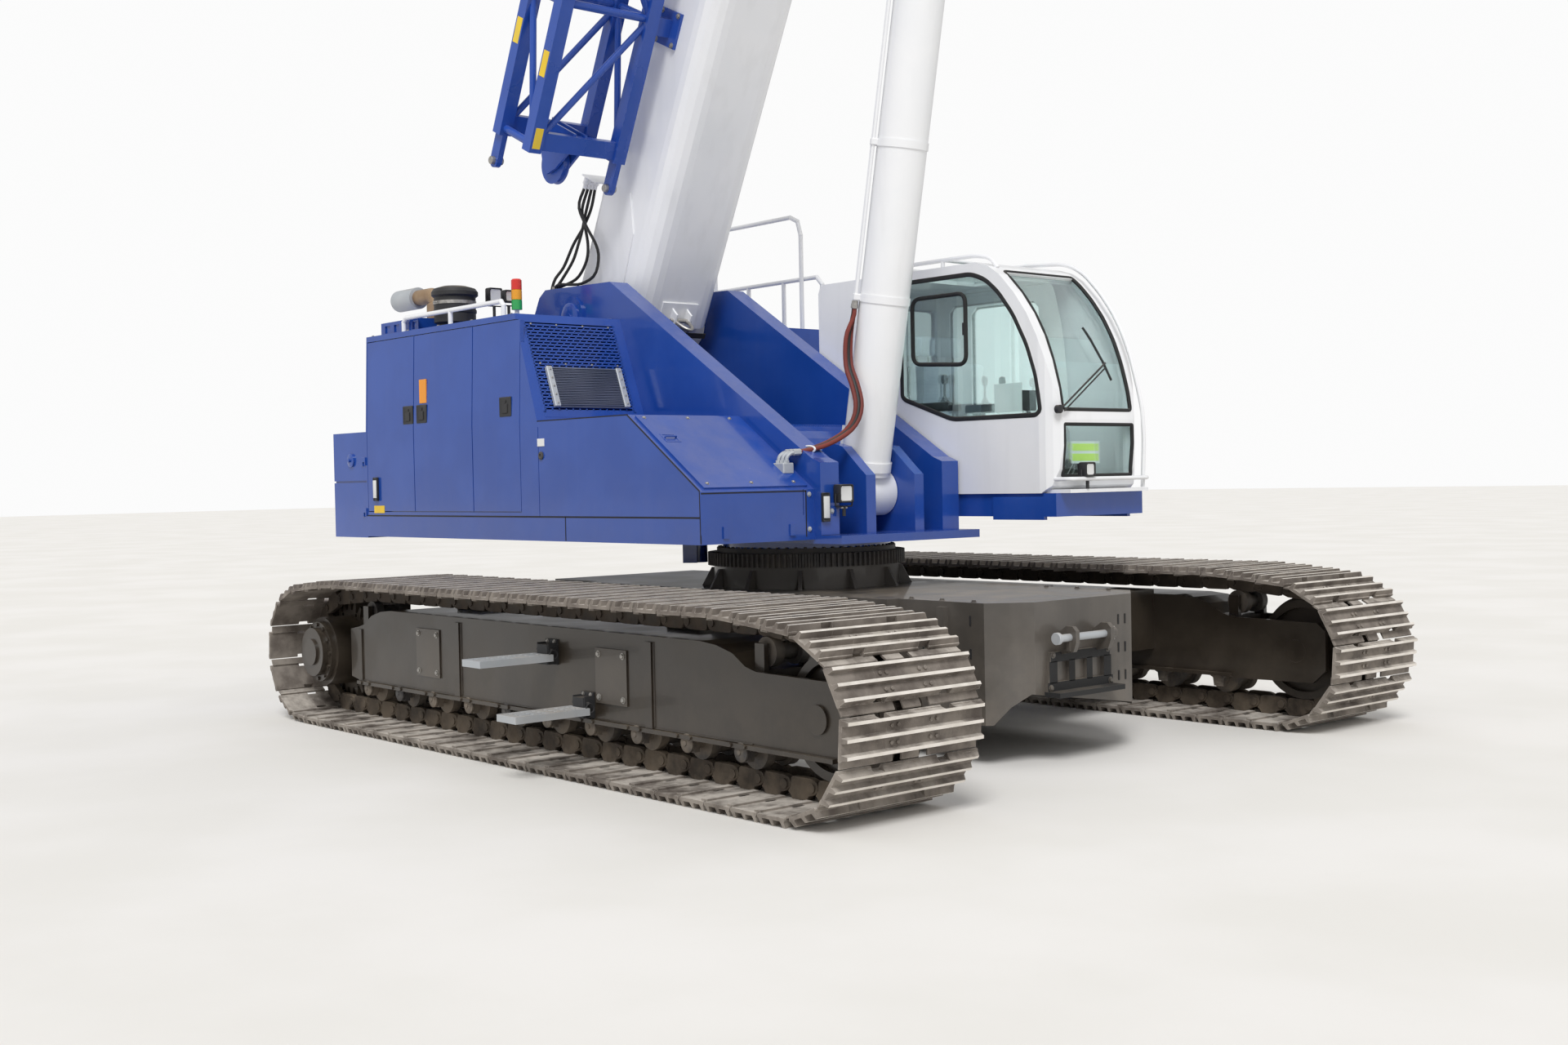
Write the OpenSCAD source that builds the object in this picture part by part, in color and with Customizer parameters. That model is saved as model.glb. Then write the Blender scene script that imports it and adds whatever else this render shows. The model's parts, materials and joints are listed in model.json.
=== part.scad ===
// Telescopic boom crawler crane, full size, in millimetres.
// +X points to the front of the machine, +Y to its left side and +Z up.
// The ground is z = 0 and the slew axis stands at x = slew_x.

/* [Tracks] */
// Overall length of a track over its shoes
track_l = 6000; // [5400:50:6600]
// Overall width across both tracks, beams out
track_span = 4860; // [4600:20:5200]
// Height of a track at its top run
track_h = 985; // [950:5:1050]
// Width of a shoe
shoe_w = 900; // [600:20:900]
// Number of shoes on a track
shoe_count = 62; // [54:2:70]
// Height of a grouser bar above its plate
lug_h = 30; // [15:1:40]
// Thickness of a shoe plate
shoe_t = 18; // [12:1:24]
// Height of the link chain inside the plates
link_h = 112; // [90:2:120]
// Thickness of one link rail
link_t = 46; // [30:2:60]
// Clear space between the two link rails
link_gap = 120; // [100:4:160]
// Radius of the shoe plates around idler and sprocket
end_r = 440; // [410:5:460]
// How far each side frame slides in for transport
retract = 620; // [300:10:640]

/* [Side frames] */
// Width of a side frame
frame_w = 400; // [340:10:440]
// Height of the side frame's bottom flange above the ground
frame_z = 300; // [290:5:330]
// Height of the side frame's top plate above the ground
frame_top = 785; // [740:5:790]
// Radius of a bottom roller
roller_r = 95; // [80:1:100]
// Number of bottom rollers on a side
roller_count = 10; // [6:1:11]
// Radius of a carrier roller
carrier_r = 75; // [60:1:80]
// Length of a step tread
step_l = 470; // [300:10:520]

/* [Car body] */
// Width of the car body's front box
box_w = 1270; // [1100:10:1300]
// Front face of the front box, ahead of the slew axis
box_x = 2330; // [2200:10:2500]
// Top of the front box above the ground
box_top = 900; // [840:5:910]
// Bottom of the front box above the ground
box_z = 235; // [200:5:300]
// Half length of a beam sleeve across the machine
sleeve_y = 860; // [780:10:900]
// Plate thickness of a beam sleeve
sleeve_t = 25; // [15:1:35]
// Running clearance between a beam and its sleeve
beam_gap = 6; // [5:1:12]
// Top of the slew ring above the ground
ring_top = 1190; // [1160:5:1230]
// Outer radius of the ring gear's teeth
ring_r = 650; // [600:5:700]
// Number of teeth on the ring gear
ring_teeth = 108; // [60:2:120]

/* [Upper structure] */
// Overall width of the upper structure
upper_w = 2940; // [2800:10:3000]
// Bottom of the sill above the ground
sill_z = 1225; // [1220:5:1260]
// Bottom of the hood doors above the ground
door_z = 1375; // [1350:5:1420]
// Top of the right hood above the ground
hood_top = 2720; // [2600:10:2900]
// Rear end of the hood behind the slew axis
hood_back = 3310; // [3200:10:3400]
// Rear end of the counterweight behind the slew axis
tail_back = 4020; // [3900:10:4200]
// Height of the crease along the hood above the ground
crease_z = 2000; // [1900:10:2100]
// How far the hood leans in above the crease
hood_lean = 25; // [0:5:60]
// Thickness of the hood panels and doors
panel_t = 30; // [20:2:40]
// Gap around a hood door
door_gap = 6; // [5:1:10]
// Half width from the middle to the outside of the boom carrier plates
carrier_y = 600; // [560:10:605]
// Thickness of a boom carrier box plate
carrier_t = 150; // [120:5:170]
// Height of the sloping deck's front edge above the ground
deck_front_z = 1530; // [1480:10:1600]
// Front end of the upper structure ahead of the slew axis
deck_x = 760; // [700:10:800]
// Radius of a handrail tube
rail_r = 17; // [12:1:22]
// Radius of a winch drum's flanges
drum_r = 330; // [260:5:350]

/* [Cab] */
// Width of the cab
cab_w = 850; // [800:10:900]
// Bottom of the cab above the ground
cab_z = 1475; // [1460:5:1500]
// Height of the cab
cab_h = 1480; // [1400:10:1560]
// Thickness of the cab walls
cab_t = 50; // [30:2:60]
// Travel of the sliding cab door
cab_door_travel = 640; // [400:10:640]

/* [Boom] */
// Boom angle above level, as parked
boom_angle = 64; // [60:0.5:66]
// Foot pin behind the slew axis
foot_back = 1800; // [1760:5:1840]
// Foot pin above the ground
foot_z = 2780; // [2760:5:2800]
// Width of the boom's base section
boom_w = 720; // [680:5:740]
// Height of the boom's base section
boom_h = 770; // [740:5:800]
// Length of the base section from the foot pin
base_l = 10300; // [9800:50:10600]
// How far each section stands out of the one around it
section_out = 160; // [120:10:240]
// Boom plate thickness
boom_t = 15; // [12:1:18]
// Clear gap between one section and the next
section_gap = 15; // [12:1:18]
// Travel of each telescoping section
section_travel = 8000; // [7000:50:8200]
// Radius of the head sheaves
sheave_r = 250; // [200:5:260]

/* [Luff cylinder] */
// Base pin ahead of the slew axis
luff_x = 550; // [500:5:600]
// Base pin above the ground
luff_z = 1500; // [1480:5:1520]
// Outer radius of the barrel
barrel_r = 156; // [140:2:170]
// Length of the barrel from its base pin
barrel_l = 3680; // [3600:10:3690]
// Radius of the rod
rod_r = 105; // [80:1:120]
// Distance from base pin to rod eye, as parked
luff_l = 6400; // [6350:5:6450]
// Lean of the cylinder above level, as parked
luff_lean = 79; // [78.5:0.1:79.5]

/* [Jib] */
// Width of the lattice jib across the boom
jib_w = 780; // [700:10:840]
// Height of the lattice jib
jib_h = 500; // [440:10:560]
// Length of the lattice jib
jib_l = 8600; // [8000:50:9000]
// Number of lattice bays
jib_bays = 9; // [6:1:11]
// Side of a jib chord's square tube
chord = 95; // [70:5:120]
// Radius of a lattice diagonal
lace_r = 23; // [16:1:30]

/* [Hidden] */

deep_blue = [0.13, 0.22, 0.55];
chassis_black = [0.13, 0.12, 0.12];
track_tan = [0.55, 0.48, 0.41];
boom_white = [0.93, 0.93, 0.95];
light_grey = [0.72, 0.74, 0.76];
dark_grey = [0.25, 0.25, 0.27];
glass_green = [0.55, 0.72, 0.68, 0.4];

slew_x = 140;
ring_h = 150;
race_h = 35;
clear = 5;
seat = 0.3;
cut = 1;

ring_base = ring_top - ring_h;
track_y = (track_span - shoe_w) / 2;
plate_z = lug_h;
end_z = plate_z + end_r;
end_x = track_l / 2 - end_r - lug_h;
top_plate_z = track_h - lug_h;
carrier_x = 2060;
rail_in = shoe_t + link_h;
top_r = rail_in + carrier_r;
wheels = [[-end_x, end_z, end_r], [end_x, end_z, end_r],
    [carrier_x, top_plate_z - top_r, top_r], [-carrier_x, top_plate_z - top_r, top_r]];
belly = 150;
arc_steps = 14;
idler_r = (end_r - rail_in) * cos(90 / arc_steps) - seat;
bottom_roller_z = plate_z + rail_in + roller_r + seat;
carrier_z = top_plate_z - rail_in - carrier_r - seat;
frame_in = track_y - frame_w / 2;
frame_out = track_y + frame_w / 2;

beam_w = 300;
beam_h = 395;
beam_z = 420;
beam_x = 1150;
cell_pitch = beam_w + 2 * beam_gap + sleeve_t;
sleeve_x = cell_pitch + sleeve_t / 2;
sleeve_top = beam_z + beam_h + beam_gap + sleeve_t;
// Length of beam that stays in its sleeve past the middle when a side is drawn in
beam_lap = 220;
beam_in = sleeve_y - retract - beam_lap;
plate = 25;

carrier_in = carrier_y - carrier_t;
upper_y = upper_w / 2;
hood_in = carrier_y;
hood_skin = panel_t + 20;
carrier_foot_z = 1690;
fan_box_h = 105;
idler_axle_r = 70;
tail_z = 1215;
tail_top = 2010;
base_t = 50;
base_z = ring_top + clear * 2;
engine_l = 1250;
engine_z = 2250;
engine_back = 2950;
drum_main_x = -2220;
drum_aux_x = -2980;
drum_z = 1950;
drum_hub_r = 60;
housing_front = -1150;
cab_y = upper_y - cab_w;
cab_back = -520;
cab_top = cab_z + cab_h;
front_in = 90;
glass_t = 6;
door_x0 = 36;
door_x1 = 884;
door_top = cab_top - 51;

foot_pin_r = 80;
luff_pin_r = 65;
fork_in = 205;
fork_t = 30;
jib_pin_r = 28;
boom_v = -15;
section_step = 2 * (boom_t + section_gap);
// Length that stays inside the section around it when a section is fully out
section_lap = 1820;
eye_dx = foot_back + luff_x + luff_l * cos(luff_lean);
eye_dz = luff_z - foot_z + luff_l * sin(luff_lean);
eye_u = eye_dx * cos(boom_angle) + eye_dz * sin(boom_angle);
eye_v = -eye_dx * sin(boom_angle) + eye_dz * cos(boom_angle);
rod_l = 3580;
bore_start = 220;
bore_r = barrel_r - 24;
gland_l = 110;

// Outward angle of the belt's straight run from wheel i to the next one
function run_ang(w, i) = let(a = w[i], b = w[(i + 1) % len(w)])
    atan2(b[1] - a[1], b[0] - a[0]) - acos((a[2] - b[2]) / norm([b[0] - a[0], b[1] - a[1]]));
function arc_start(w, i) = run_ang(w, (i + len(w) - 1) % len(w));
function turn(a) = a < 0 ? turn(a + 360) : (a >= 360 ? a - 360 : a);
function arc_sweep(w, i) = turn(run_ang(w, i) - arc_start(w, i));
function arc_len(w, i) = w[i][2] * arc_sweep(w, i) * PI / 180;
function run_len(w, i) = let(a = w[i], b = w[(i + 1) % len(w)], d = norm([b[0] - a[0], b[1] - a[1]]))
    sqrt(d * d - (a[2] - b[2]) * (a[2] - b[2]));
function loop_len(w, i = 0) = i == len(w) ? 0 : arc_len(w, i) + run_len(w, i) + loop_len(w, i + 1);

// Point at distance s along the belt, as [x, z, outward angle]
function along(w, s, i = 0) = let(a = arc_len(w, i), r = run_len(w, i))
    s < a ? on_arc(w[i], arc_start(w, i) + s / w[i][2] * 180 / PI)
    : s < a + r ? on_run(w[i], run_ang(w, i), s - a)
    : along(w, s - a - r, (i + 1) % len(w));
function on_arc(c, a) = [c[0] + c[2] * cos(a), c[1] + c[2] * sin(a), a];
function on_run(c, a, q) = [c[0] + c[2] * cos(a) - q * sin(a), c[1] + c[2] * sin(a) + q * cos(a), a];
function lifted(p, h) = [p[0] + h * cos(p[2]), p[1] + h * sin(p[2])];

// Outline of the belt set in by k from the plates' outer face
function belt(k, steps = arc_steps) = [for (i = [0 : len(wheels) - 1]) let(n = wheels[i][2] > 300 ? steps : 3)
    for (j = [0 : n]) let(a = arc_start(wheels, i) + arc_sweep(wheels, i) * j / n)
    [wheels[i][0] + (wheels[i][2] - k) * cos(a), wheels[i][1] + (wheels[i][2] - k) * sin(a)]];

// Points of an arc about (cx, cy), from angle a to angle b in n steps
function arc(cx, cy, r, a, b, n) = [for (i = [0 : n]) let(t = a + (b - a) * i / n) [cx + r * cos(t),
    cy + r * sin(t)]];

module placed() { translate([slew_x, 0, 0]) children(); }
// Extrudes an x-z outline from y0 to y1
module across(y0, y1) { translate([0, y1, 0]) rotate([90, 0, 0]) linear_extrude(y1 - y0) children(); }
module rod_y(x, z, r, y0, y1) { translate([x, y0, z]) rotate([-90, 0, 0]) cylinder(r = r, h = y1 - y0,
    $fn = 48); }
module block(x0, x1, y0, y1, z0, z1) { translate([x0, y0, z0]) cube([x1 - x0, y1 - y0, z1 - z0]); }
// Puts children in the boom's frame: x along the boom from the foot pin, z away from its underside
module on_boom() { placed() translate([-foot_back, 0, foot_z]) rotate([0, -boom_angle, 0]) children(); }
module on_luff() { placed() translate([luff_x, 0, luff_z]) rotate([0, -luff_lean, 0]) children(); }
// Extrudes a y-z outline from x0 to x1
module ahead(x0, x1) { translate([x0, 0, 0]) rotate([90, 0, 90]) linear_extrude(x1 - x0) children(); }
module square_at(x0, x1, z0, z1) { translate([x0, z0]) square([x1 - x0, z1 - z0]); }
// Round bar from point a to point b
module strut(a, b, r, n = 24) {
    d = b - a;
    translate(a) rotate([0, acos(d[2] / norm(d)), atan2(d[1], d[0])]) cylinder(r = r, h = norm(d), $fn = n);
}
// Tube along a list of points, with round elbows
module tubing(points, r) {
    for (i = [0 : len(points) - 2]) strut(points[i], points[i + 1], r);
    for (i = [1 : len(points) - 2]) translate(points[i]) sphere(r = r + 1, $fn = 24);
}
module mirrored(left) { placed() mirror([0, left ? 1 : 0, 0]) children(); }

// Car body

module carbody() {
    core_y = 720;
    core_z = 340;
    inner_x = beam_x - sleeve_x;
    outer_x = beam_x + sleeve_x;
    half = box_w / 2;
    pedestal_r = ring_r - 40;
    tail_l = 550;
    arch = [[-half + 35, box_z - cut], [-half + 35, box_z], [-half + 110, box_z + 95], [-half + 200,
        box_z + 165],
        [half - 40, box_z + 15], [half - 40, box_z - cut]];
    color(chassis_black) placed() {
        block(-inner_x, inner_x, -core_y, core_y, core_z, sleeve_top);
        block(-outer_x - plate, outer_x + plate, -half, half, sleeve_top, box_top);
        block(-outer_x, outer_x, -core_y, core_y, sleeve_top, box_top);
        translate([0, 0, box_top]) cylinder(r = pedestal_r, h = ring_base - box_top, $fn = 72);
        for (a = [15 : 30 : 345]) rotate([90, 0, a]) translate([pedestal_r - clear, box_top, -plate / 2])
            linear_extrude(plate) polygon([[0, 0], [90, 0], [25, ring_base - box_top - 20], [0,
                ring_base - box_top - 20]]);
        difference() {
            translate([0, 0, box_z]) linear_extrude(box_top - box_z) box_plan(outer_x, box_x, half);
            translate([0, 0, box_z - cut]) linear_extrude(box_top - box_z - plate) offset(delta = -plate)
                box_plan(outer_x, box_x, half);
            ahead(outer_x + 400, box_x + cut) polygon(arch);
        }
        for (x = [outer_x + 200, outer_x + 520]) block(x, x + plate, -half + cut, half - cut,
            box_z + 120, box_top - cut);
        block(box_x - 500, box_x - 440, -half - 30, -half, box_top - 200, box_top - 30);
        difference() {
            block(-outer_x - tail_l, -outer_x, -half, half, core_z, box_top);
            block(-outer_x - tail_l + plate, -outer_x - plate, -half + plate, half - plate, core_z - cut,
                box_top - plate);
        }
        tow_bracket();
    }
}

// Plan of the car body's front box, with its two front corners cut off
module box_plan(x0, x1, half) {
    nose = 170;
    side = 215;
    polygon([[x0, -half], [x1 - nose, -half], [x1, -half + side], [x1, half - side], [x1 - nose, half],
        [x0, half]]);
}

module axle_sleeves() {
    z0 = beam_z - seat - sleeve_t;
    collar = 30;
    color(chassis_black) placed() for (side = [-1, 1]) translate([side * beam_x, 0, 0]) difference() {
        union() {
            block(-sleeve_x, sleeve_x, -sleeve_y, sleeve_y, z0, sleeve_top);
            for (y = [-sleeve_y, sleeve_y - 2 * collar]) block(-sleeve_x - collar / 2,
                sleeve_x + collar / 2, y, y + 2 * collar,
                z0 - collar, sleeve_top + collar);
        }
        for (cell = [-1, 1]) translate([cell * cell_pitch / 2, 0, 0])
            block(-beam_w / 2 - beam_gap, beam_w / 2 + beam_gap, -sleeve_y - cut, sleeve_y + cut,
                beam_z - seat, beam_z + beam_h + beam_gap);
    }
}

module tow_bracket() {
    y0 = -65;
    foot_z = 405;
    lip = 110;
    ear_z = 620;
    pin_x = box_x + 85;
    pin_z = 700;
    pin_r = 20;
    difference() {
        ahead(box_x, box_x + plate) polygon([[y0 - 280, foot_z], [y0 + 280, foot_z], [y0 + 250, ear_z],
            [y0 - 250, ear_z]]);
        for (i = [-1 : 1]) block(box_x - cut, box_x + plate + cut, y0 + i * 150 - 50, y0 + i * 150 + 50,
            foot_z + 50, ear_z - 55);
    }
    block(box_x, box_x + lip, y0 - 280, y0 + 280, foot_z - plate, foot_z);
    for (s = [-1, 1]) difference() {
        across(y0 + s * 150 - 15, y0 + s * 150 + 15) polygon([[box_x, ear_z - 20], [box_x + lip, ear_z],
            [box_x + 130, pin_z - 30],
            [box_x + 130, pin_z + 35], [box_x + 105, pin_z + 60], [box_x + 60, pin_z + 60], [box_x,
                pin_z + 20]]);
        rod_y(pin_x, pin_z, pin_r + seat, y0 + s * 150 - 20, y0 + s * 150 + 20);
    }
    rod_y(pin_x, pin_z, pin_r, y0 - 260, y0 + 200);
    rod_y(pin_x, pin_z, pin_r + 12, y0 + 165 + clear, y0 + 215);
    block(pin_x - 12, pin_x + 12, y0 - 165 - 14, y0 - 165, pin_z - 75, pin_z);
}

module slew_ring() {
    pitch = 360 / ring_teeth;
    root = ring_r - 18;
    race_r = ring_r - 60;
    bore = ring_r - 180;
    gear_h = 85;
    // Columns: tooth flank in tooth pitches, radius
    tooth = [[-0.30, root], [-0.14, ring_r], [0.14, ring_r], [0.30, root]];
    color(dark_grey) placed() translate([0, 0, ring_base]) difference() {
        union() {
            linear_extrude(gear_h) polygon([for (i = [0 : ring_teeth - 1]) for (p = tooth)
                let(a = (i + p[0]) * pitch) [p[1] * cos(a), p[1] * sin(a)]]);
            cylinder(r = race_r, h = ring_h - race_h - seat, $fn = 72);
        }
        translate([0, 0, -cut]) cylinder(r = bore, h = ring_h, $fn = 72);
    }
}

// Track sides, modelled on the right and mirrored to the left

module track(left) {
    pitch = loop_len(wheels) / shoe_count;
    lugs = [for (i = [0 : 2]) for (p = [[-10, 0], [-4, lug_h], [4, lug_h], [10,
        0]]) [pitch * (i + 0.5) / 3 + p[0], p[1]]];
    shoes = [for (k = [0 : shoe_count - 1]) for (p = lugs) lifted(along(wheels, k * pitch + p[0]), p[1])];
    color(track_tan) mirrored(left) {
        across(-track_y - shoe_w / 2, -track_y + shoe_w / 2) difference() {
            polygon(shoes);
            polygon(belt(shoe_t));
        }
        for (s = [-1, 1]) let(y = -track_y + s * (link_gap + link_t) / 2) across(y - link_t / 2,
            y + link_t / 2)
            difference() {
                polygon(belt(shoe_t));
                polygon(belt(rail_in));
            }
    }
}

module side_frame(left) {
    y0 = -frame_out;
    y1 = -frame_in;
    low = 660;
    near_end = 1640;
    nose = 2080;
    tip = 2740;
    rib_w = 60;
    flange = 26;
    flange_t = 22;
    // The right frame's beams run in the rear cells of each pair, the left frame's in the front cells
    cell = left ? 1 : -1;
    shoulder = [[near_end, frame_top], [near_end + 130, frame_top - 12], [near_end + 260, frame_top - 45],
        [near_end + 360, frame_top - 105], [nose, low]];
    color(chassis_black) mirrored(left) {
        difference() {
            across(y0, y1) polygon(concat([[-nose, frame_z], [nose, frame_z], [nose, low]],
                [for (i = [len(shoulder) - 1 : -1 : 0]) shoulder[i]], [for (p = shoulder) [-p[0], p[1]]]));
            block(-nose - cut, nose + cut, -track_y - belly, -track_y + belly, frame_z - cut,
                bottom_roller_z + roller_r + 20);
        }
        for (x = [-carrier_x, carrier_x]) for (s = [-1, 1])
            block(x - 35, x + 35, -track_y + s * 143 - 15, -track_y + s * 143 + 15, low - 60, carrier_z + 45);
        for (y = [y0, y1 - 30]) difference() {
            across(y, y + 30) polygon([[nose, frame_z - 30], [tip - 90, frame_z - 20], [tip,
                frame_z + 60], [tip, low - 60],
                [tip - 60, low - 10], [nose, low]]);
            rod_y(end_x, end_z, idler_axle_r + seat, y - cut, y + 30 + cut);
        }
        for (y = [y0, y1 - 30]) across(y, y + 30) polygon([[-nose, frame_z], [-nose, low], [-2200, low - 20],
            [-2200, frame_z + 20]]);
        for (side = [-1, 1]) translate([side * beam_x + cell * cell_pitch / 2, 0, 0])
            block(-beam_w / 2, beam_w / 2, y1, beam_in, beam_z, beam_z + beam_h);
        block(-nose, tip - 90, y0 - flange, y0 + clear, frame_z - flange_t, frame_z);
        block(-nose, nose, y1 - clear, y1 + flange, frame_z - flange_t, frame_z);
        // Columns: first x of the rib, first x of the inspection plate beside it
        for (c = [[-800, -1280], [1180, 720]]) {
            block(c[0], c[0] + rib_w, y0 - 14, y0, frame_z, frame_top - 30);
            inspection_plate(c[1], y0);
        }
        block(-nose, -nose + 50, y0 - 10, y0, frame_z, low - 15);
    }
}

module inspection_plate(x, y0) {
    w = 290;
    h = 300;
    z = 395;
    in = 32;
    block(x, x + w, y0 - 8, y0, z, z + h);
    for (dx = [in, w - in]) for (dz = [in, h - in]) rod_y(x + dx, z + dz, 11, y0 - 16, y0 - 8);
}

module sprocket(left) {
    teeth = 24;
    disc_t = 90;
    tip_r = idler_r + 30;
    root_r = idler_r - 35;
    bolts = 12;
    // Columns: hub radius, outer end, inner end, from the track's middle line
    hub = [[235, -250, -45], [205, -285, -250], [165, -330, -285], [90, -345, -330]];
    color(dark_grey) mirrored(left) {
        translate([-end_x, -track_y + disc_t / 2, end_z]) rotate([90, 0, 0]) difference() {
            linear_extrude(disc_t) polygon([for (i = [0 : teeth - 1])
                for (p = [[-0.32, root_r], [-0.13, tip_r], [0.13, tip_r], [0.32, root_r]])
                let(a = (i + p[0]) * 360 / teeth) [p[1] * cos(a), p[1] * sin(a)]]);
            for (i = [0 : 7]) rotate(i * 45 + 22.5) translate([255, 0, -cut]) cylinder(r = 14,
                h = disc_t + 2 * cut, $fn = 24);
        }
        for (h = hub) rod_y(-end_x, end_z, h[0], -track_y + h[1], -track_y + h[2]);
        for (i = [0 : bolts - 1]) let(a = i * 360 / bolts)
            rod_y(-end_x + 185 * cos(a), end_z + 185 * sin(a), 13, -track_y - 297, -track_y - 285);
        rod_y(-end_x, end_z, 215, -track_y + disc_t / 2, -frame_in - 35);
        block(-end_x, -2200, -frame_in - 35, -frame_in, 330, 610);
    }
}

module idler(left) {
    flange_y = link_gap / 2 - 20;
    rim = link_gap / 2 + link_t;
    hub_y = frame_w / 2 - 30;
    color(dark_grey) mirrored(left) translate([end_x, -track_y, end_z]) difference() {
        union() {
            rod_y(0, 0, idler_r, -rim, rim);
            rod_y(0, 0, idler_r + 26, -flange_y, flange_y);
            rod_y(0, 0, idler_axle_r + 35, -hub_y, hub_y);
            rod_y(0, 0, idler_axle_r, -frame_w / 2 - 14, frame_w / 2);
        }
        for (y = [-rim - cut, rim - 35]) translate([0, y, 0]) rotate([-90, 0, 0]) difference() {
            cylinder(r = idler_r - 45, h = 35 + cut, $fn = 48);
            translate([0, 0, -cut]) cylinder(r = idler_axle_r + 60, h = 40 + 2 * cut, $fn = 48);
        }
    }
}

module rollers(left) {
    reach = 1960;
    axle_r = 34;
    rim_y = 85;
    rim_w = 54;
    ear_y = belly + 20;
    color(dark_grey) mirrored(left) {
        for (i = [0 : roller_count - 1]) let(x = -reach + 2 * reach * i / (roller_count - 1)) {
            for (s = [-1, 1]) rod_y(x, bottom_roller_z, roller_r, -track_y + s * rim_y - rim_w / 2,
                -track_y + s * rim_y + rim_w / 2);
            rod_y(x, bottom_roller_z, roller_r - 24, -track_y - rim_y - 1, -track_y + rim_y + 1);
            rod_y(x, bottom_roller_z, axle_r, -track_y - ear_y - 24, -track_y + ear_y + 24);
            for (s = [-1, 1]) across(-track_y + s * ear_y - 20, -track_y + s * ear_y + 20) polygon([
                [x - 75, frame_z], [x - 75, frame_z - 22], [x - 42, frame_z - 40], [x - 34,
                    bottom_roller_z - 48],
                [x + 34, bottom_roller_z - 48], [x + 42, frame_z - 40], [x + 75, frame_z - 22], [x + 75,
                    frame_z]]);
        }
        for (x = [-carrier_x, carrier_x]) {
            for (s = [-1, 1]) rod_y(x, carrier_z, carrier_r, -track_y + s * rim_y - rim_w / 2,
                -track_y + s * rim_y + rim_w / 2);
            rod_y(x, carrier_z, 45, -track_y - rim_y - 1, -track_y + rim_y + 1);
            rod_y(x, carrier_z, 25, -track_y - 128, -track_y + 128);
        }
    }
}

module steps(left) {
    tread_w = 190;
    tread_t = 38;
    stand = 60;
    // Columns: tread middle x, tread z
    treads = [[290, 600], [640, 330]];
    color(light_grey) mirrored(left) for (t = treads) {
        difference() {
            block(t[0] - tread_w / 2, t[0] + tread_w / 2, -frame_out - stand - step_l,
                -frame_out - stand, t[1], t[1] + tread_t);
            block(t[0] - tread_w / 2 + 6, t[0] + tread_w / 2 - 6, -frame_out - stand - step_l + 6,
                -frame_out - stand - 6,
                t[1] - cut, t[1] + tread_t - 5);
            for (i = [0 : 5]) for (dx = [-50, 0, 50])
                translate([t[0] + dx, -frame_out - stand - 55 - i * (step_l - 110) / 5,
                    t[1]]) cylinder(r = 13, h = 2 * tread_t, $fn = 16);
        }
        for (dx = [-50, 30]) block(t[0] + dx, t[0] + dx + 20, -frame_out - stand - cut, -frame_out - 11,
            t[1] - 20, t[1] + 90);
        block(t[0] - 50, t[0] + 50, -frame_out - stand - 12, -frame_out - stand, t[1] - 20, t[1] + 90);
        block(t[0] - 55, t[0] + 55, -frame_out - 12, -frame_out, t[1] - 25, t[1] + 115);
    }
}

// Upper structure

module turntable() {
    base_top = base_z + base_t;
    foot_z0 = carrier_foot_z;
    lug_in = 170;
    lug_out = 250;
    color(deep_blue) placed() {
        translate([0, 0, ring_top - race_h]) cylinder(r = ring_r - 90,
            h = race_h + base_z - ring_top + cut, $fn = 72);
        block(-hood_back, 1000, -carrier_y, carrier_y, base_z, base_top);
        for (s = [-1, 1]) let(y0 = s > 0 ? carrier_in : -carrier_y) difference() {
            across(y0, y0 + carrier_t) polygon([[-hood_back, base_top - cut], [820, base_top - cut],
                [820, foot_z0], [740, foot_z0 + 30],
                [-1330, 2990], [-2150, 3010], [-2230, 2960], [-2500, 2500], [-hood_back, 2300]]);
            for (x = [drum_main_x, drum_aux_x]) rod_y(x, drum_z, drum_hub_r, y0 - cut, y0 + carrier_t + cut);
        }
        for (s = [-1, 1]) difference() {
            rod_y(-foot_back, foot_z, foot_pin_r + 70, s > 0 ? carrier_y - cut : -carrier_y - 18,
                s > 0 ? carrier_y + 18 : -carrier_y + cut);
            block(-foot_back - 200, -foot_back + 200, s > 0 ? carrier_y : -carrier_y - 20,
                s > 0 ? carrier_y + 20 : -carrier_y, foot_z - 200, hood_top + seat);
        }
        rod_y(-foot_back, foot_z, foot_pin_r - seat, -carrier_y, carrier_y);
        for (s = [-1, 1]) across(s > 0 ? lug_in : -lug_out, s > 0 ? lug_out : -lug_in) polygon([[300,
            base_top - cut],
            [850, base_top - cut], [850, luff_z + 110], [800, luff_z + 150], [640, luff_z + 290], [560,
                luff_z + 310],
            [470, luff_z + 290], [390, luff_z + 180]]);
        rod_y(luff_x, luff_z, luff_pin_r - seat, -lug_out, lug_out);
        winch_cover(base_top);
        for (x = [-1500, -950]) block(x, x + 40, -carrier_in - cut, carrier_in + cut, base_top - cut,
            base_top + 260);
        slew_motor(base_top);
    }
}

// Curved cover between the carrier plates, ahead of the hoist ropes' way down
module winch_cover(z0) {
    cx = -150;
    cz = 1560;
    r = 400;
    t = 14;
    across(-carrier_in - cut, carrier_in + cut) polygon(concat(arc(cx, cz, r, 0, 120, 10), arc(cx, cz,
        r - t, 120, 0, 10),
        [[cx + r - t, z0 - cut], [cx + r, z0 - cut]]));
}

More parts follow.
